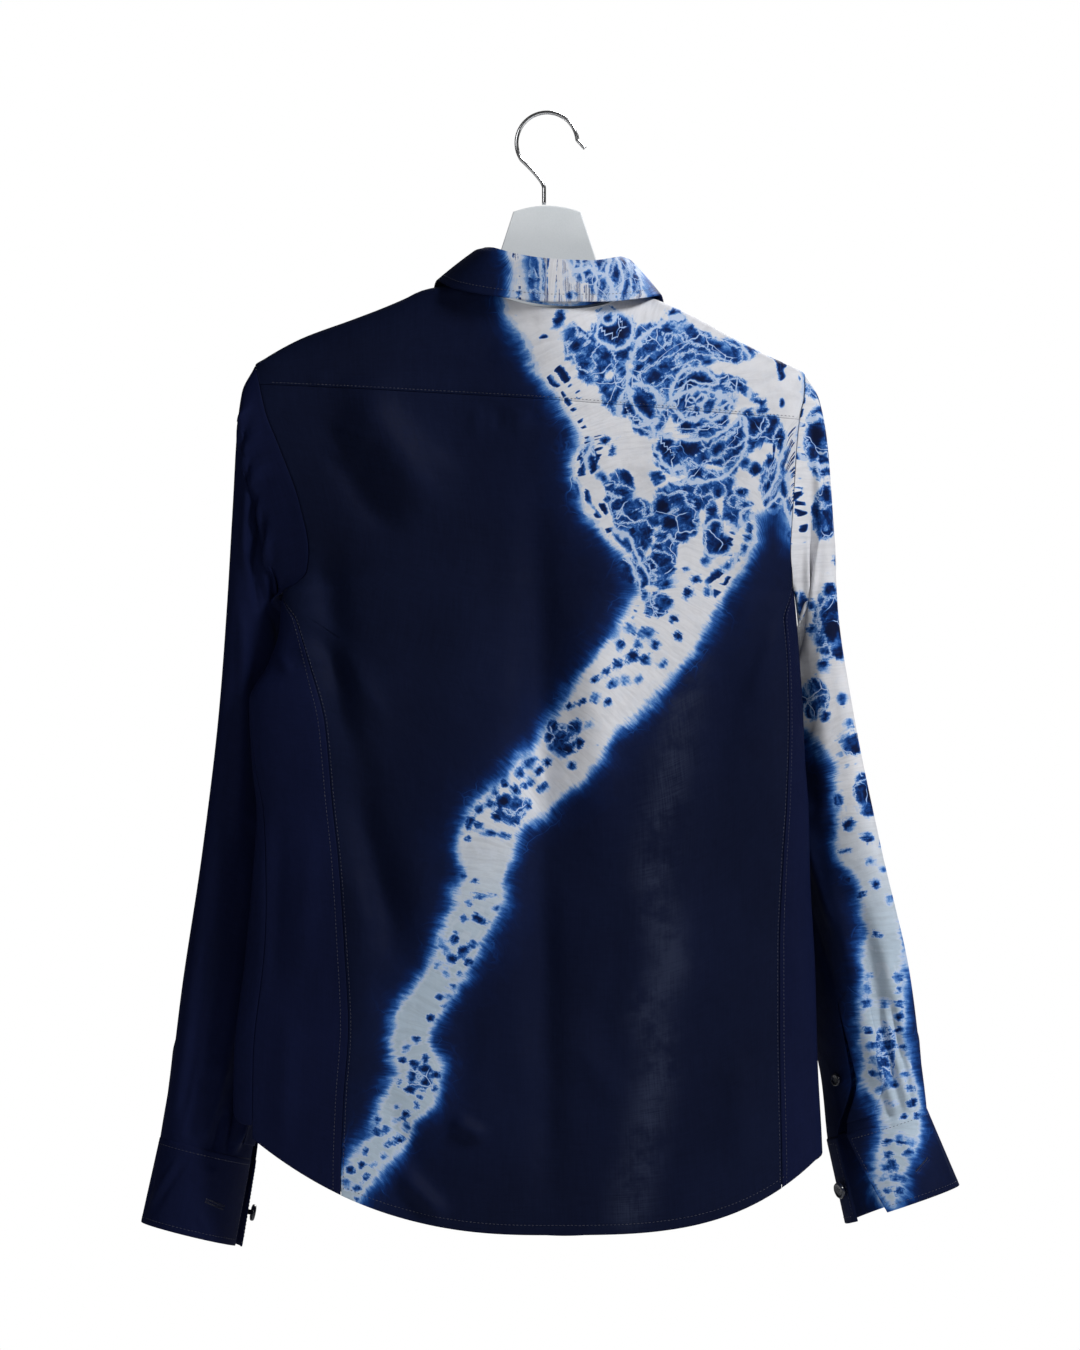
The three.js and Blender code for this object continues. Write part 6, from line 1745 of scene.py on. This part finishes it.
def button(name, node, at, out, size, turn=0.0):
    """A turned button with a rim, a dished face and two bars of thread, its face towards out."""
    r, t, shank = size["radius"], size["thickness"], size["shank"]
    profile = [
        (0, 0), (r * 0.3, 0), (r * 0.3, shank), (r * 0.78, shank), (r * 0.95, shank + t * 0.14),
        (r, shank + t * 0.42), (r * 0.985, shank + t * 0.7), (r * 0.93, shank + t * 0.92),
        (r * 0.85, shank + t), (r * 0.76, shank + t * 0.97), (r * 0.68, shank + t * 0.8),
        (r * 0.6, shank + t * 0.72), (r * 0.3, shank + t * 0.68), (0, shank + t * 0.68),
    ]
    n = 40
    turns = np.linspace(0, 2 * np.pi, n, endpoint=False)
    rings = np.array([[(rad * math.cos(a), rad * math.sin(a), z) for a in turns] for rad, z in profile])
    k = np.arange(n * len(profile)).reshape(len(profile), n)
    k[0], k[-1] = k[0][0], k[-1][0]
    k2 = np.roll(k, -1, axis=1)
    faces = [np.stack([k[:-1], k2[:-1], k2[1:], k[1:]], -1).reshape(-1, 4)]
    vertices = [rings.reshape(-1, 3)]
    count = n * len(profile)
    for i in range(2):
        pad, pad_faces = thread_pad(r, shank + t * 0.68, i)
        vertices.append(pad)
        faces.append(pad_faces + count)
        count += len(pad)
    vertices = np.concatenate(vertices)
    out = Vector(out).normalized()
    turned = Vector((0, 0, 1)).rotation_difference(out).to_matrix()
    spin = np.array([[math.cos(turn), -math.sin(turn), 0], [math.sin(turn), math.cos(turn), 0], [0, 0, 1]])
    vertices = vertices @ spin.T @ np.array(turned).T + np.array(at)
    obj = mesh_object(name, vertices, np.concatenate(faces))
    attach(obj, "root")
    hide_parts(node)
    return obj


def thread_pad(r, z, i):
    """One bar of the thread that holds a button."""
    long, wide, high = r * 0.3, r * 0.09, 0.35
    sections = []
    for s in np.linspace(-1, 1, 9):
        lift = math.sqrt(max(0, 1 - s * s))
        sections.append([
            (s * long, wide * math.cos(a) + (0.17 if i else -0.17) * r, z + high * lift * math.sin(a))
            for a in np.linspace(0, np.pi, 6)
        ])
    p = np.array(sections)
    k = np.arange(p.shape[0] * p.shape[1]).reshape(p.shape[:2])
    faces = np.stack([k[:-1, :-1], k[1:, :-1], k[1:, 1:], k[:-1, 1:]], -1).reshape(-1, 4)
    return p.reshape(-1, 3), faces[:, ::-1]


buttons = []
for i in range(FRONT_BUTTONS["count"]):
    z = FRONT_BUTTONS["first"] - i * FRONT_BUTTONS["pitch"]
    at = body_at(FRONT_CENTRE, z, False, FRONT_LIFT + CLOTH_ROOM / 2 + SEAM)
    name, node = f"front_button_{i + 1}", f"button_front_{i + 1}"
    buttons.append(button(name, node, at, (0, 1, 0), FRONT_BUTTONS, 0.2 * i))
for s in SIDES:
    h = np.array(CUFF_BUTTON["down"])
    angle = (CUFFS[s]["end"] + CUFF_BUTTON["from_end"]) * RAD
    along = cuff_point(s, np.array(angle + 3 * RAD), h) - cuff_point(s, np.array(angle - 3 * RAD), h)
    down = np.array(CUFFS[s]["bottom"], float) - np.array(CUFFS[s]["top"], float)
    out = unit(np.cross(along, down))
    if out @ np.array(CUFFS[s]["out"], float) > 0:
        out = -out
    at = cuff_point(s, np.array(angle), h) + out * (STIFF / 2 + SEAM)
    buttons.append(button(f"cuff_button_{s}", f"button_cuff_{s}", at, out, CUFF_BUTTON, 0.5))
    t = np.array(PLACKET_BUTTON["t"])
    alpha = slit_angle(s, t) + slit_gap(s, t) + PLACKET_BUTTON["below"] * RAD
    seat = sleeve_point(s, alpha, t, CLOTH_ROOM / 2 + SEAM + 0.2)
    out = sleeve_normal(s, alpha, t)
    buttons.append(button(f"sleeve_button_{s}", f"button_placket_{s}", seat, out, PLACKET_BUTTON, 0.3))


DYED = ("yoke", "back", "front_right", "sleeve_right", "placket_right", "cuff_right", "collar_stand",
        "collar_leaf")
for name, obj in pieces.items():
    obj.data.materials.append(dyed_cloth if name in DYED else navy_cloth)
for obj in buttons:
    obj.data.materials.append(button_mat)
plate.data.materials.append(board_mat)
hook.data.materials.append(wire_mat)


# Floor, camera and lights

def floor_material():
    net = Net("floor_pale")
    cloud = net.noise(net.place(), 1.5, 3, 0.5)
    color = net.blend(net.between(cloud, 0.3, 0.7), (0.78, 0.78, 0.78), (0.82, 0.82, 0.82))
    return net.finish(color, 0.85)


def add_floor():
    mesh = bpy.data.meshes.new("floor")
    half, near, far, z = (FLOOR[key] for key in ("half", "near", "far", "z"))
    corners = [(-half, near, z), (half, near, z), (half, far, z), (-half, far, z)]
    mesh.from_pydata(corners, [], [(0, 1, 2, 3)])
    obj = bpy.data.objects.new("floor", mesh)
    bpy.context.collection.objects.link(obj)
    mesh.materials.append(floor_material())


# In metres: each light's place, size and power in watts, and the point that all of them face
LIGHTS = dict(key=((2.5, -1.9, 1.9), 0.9, 118), fill=((-1.8, -3.2, 0.6), 1.4, 17),
              back_light=((0.9, 2.6, 1.2), 1.6, 75))
LIT_POINT = (-0.01, 0, -0.45)
SKY_LIGHT, SKY_SEEN = 0.06, 1.0  # strength of the white world as light, and as the camera sees it
FLOOR = dict(half=3.0, near=-3.5, far=1.0, z=-1.15)
CAMERA = dict(x=-0.0056, z=-0.4484, away=6.0, high=1.080, sensor=36)  # high is what the frame takes in


def area_light(name, place, size, power):
    light = bpy.data.lights.new(name, "AREA")
    light.shape, light.size, light.energy = "DISK", size, power
    obj = bpy.data.objects.new(name, light)
    obj.location = place
    obj.rotation_euler = (Vector(LIT_POINT) - Vector(place)).to_track_quat("-Z", "Y").to_euler()
    bpy.context.collection.objects.link(obj)


def add_camera():
    camera = bpy.data.cameras.new("camera")
    camera.sensor_fit = "VERTICAL"
    camera.sensor_height = camera.sensor_width = CAMERA["sensor"]
    camera.lens = CAMERA["sensor"] * CAMERA["away"] / CAMERA["high"]
    camera.clip_end = 50
    obj = bpy.data.objects.new("camera", camera)
    obj.location = (CAMERA["x"], -CAMERA["away"], CAMERA["z"])
    obj.rotation_euler = (math.pi / 2, 0, 0)
    bpy.context.collection.objects.link(obj)
    bpy.context.scene.camera = obj


add_floor()
add_camera()
for name, light in LIGHTS.items():
    area_light(name, *light)
world = bpy.data.worlds.new("world")
world.use_nodes = True
bpy.context.scene.world = world
background = world.node_tree.nodes["Background"]
background.inputs["Color"].default_value = (1, 1, 1, 1)
path = world.node_tree.nodes.new("ShaderNodeLightPath")
lit = world.node_tree.nodes.new("ShaderNodeMapRange")
lit.inputs["To Min"].default_value = SKY_LIGHT
lit.inputs["To Max"].default_value = SKY_SEEN
world.node_tree.links.new(path.outputs["Is Camera Ray"], lit.inputs["Value"])
world.node_tree.links.new(lit.outputs["Result"], background.inputs["Strength"])
bpy.context.scene.view_settings.view_transform = "Standard"

low, high = cad_box
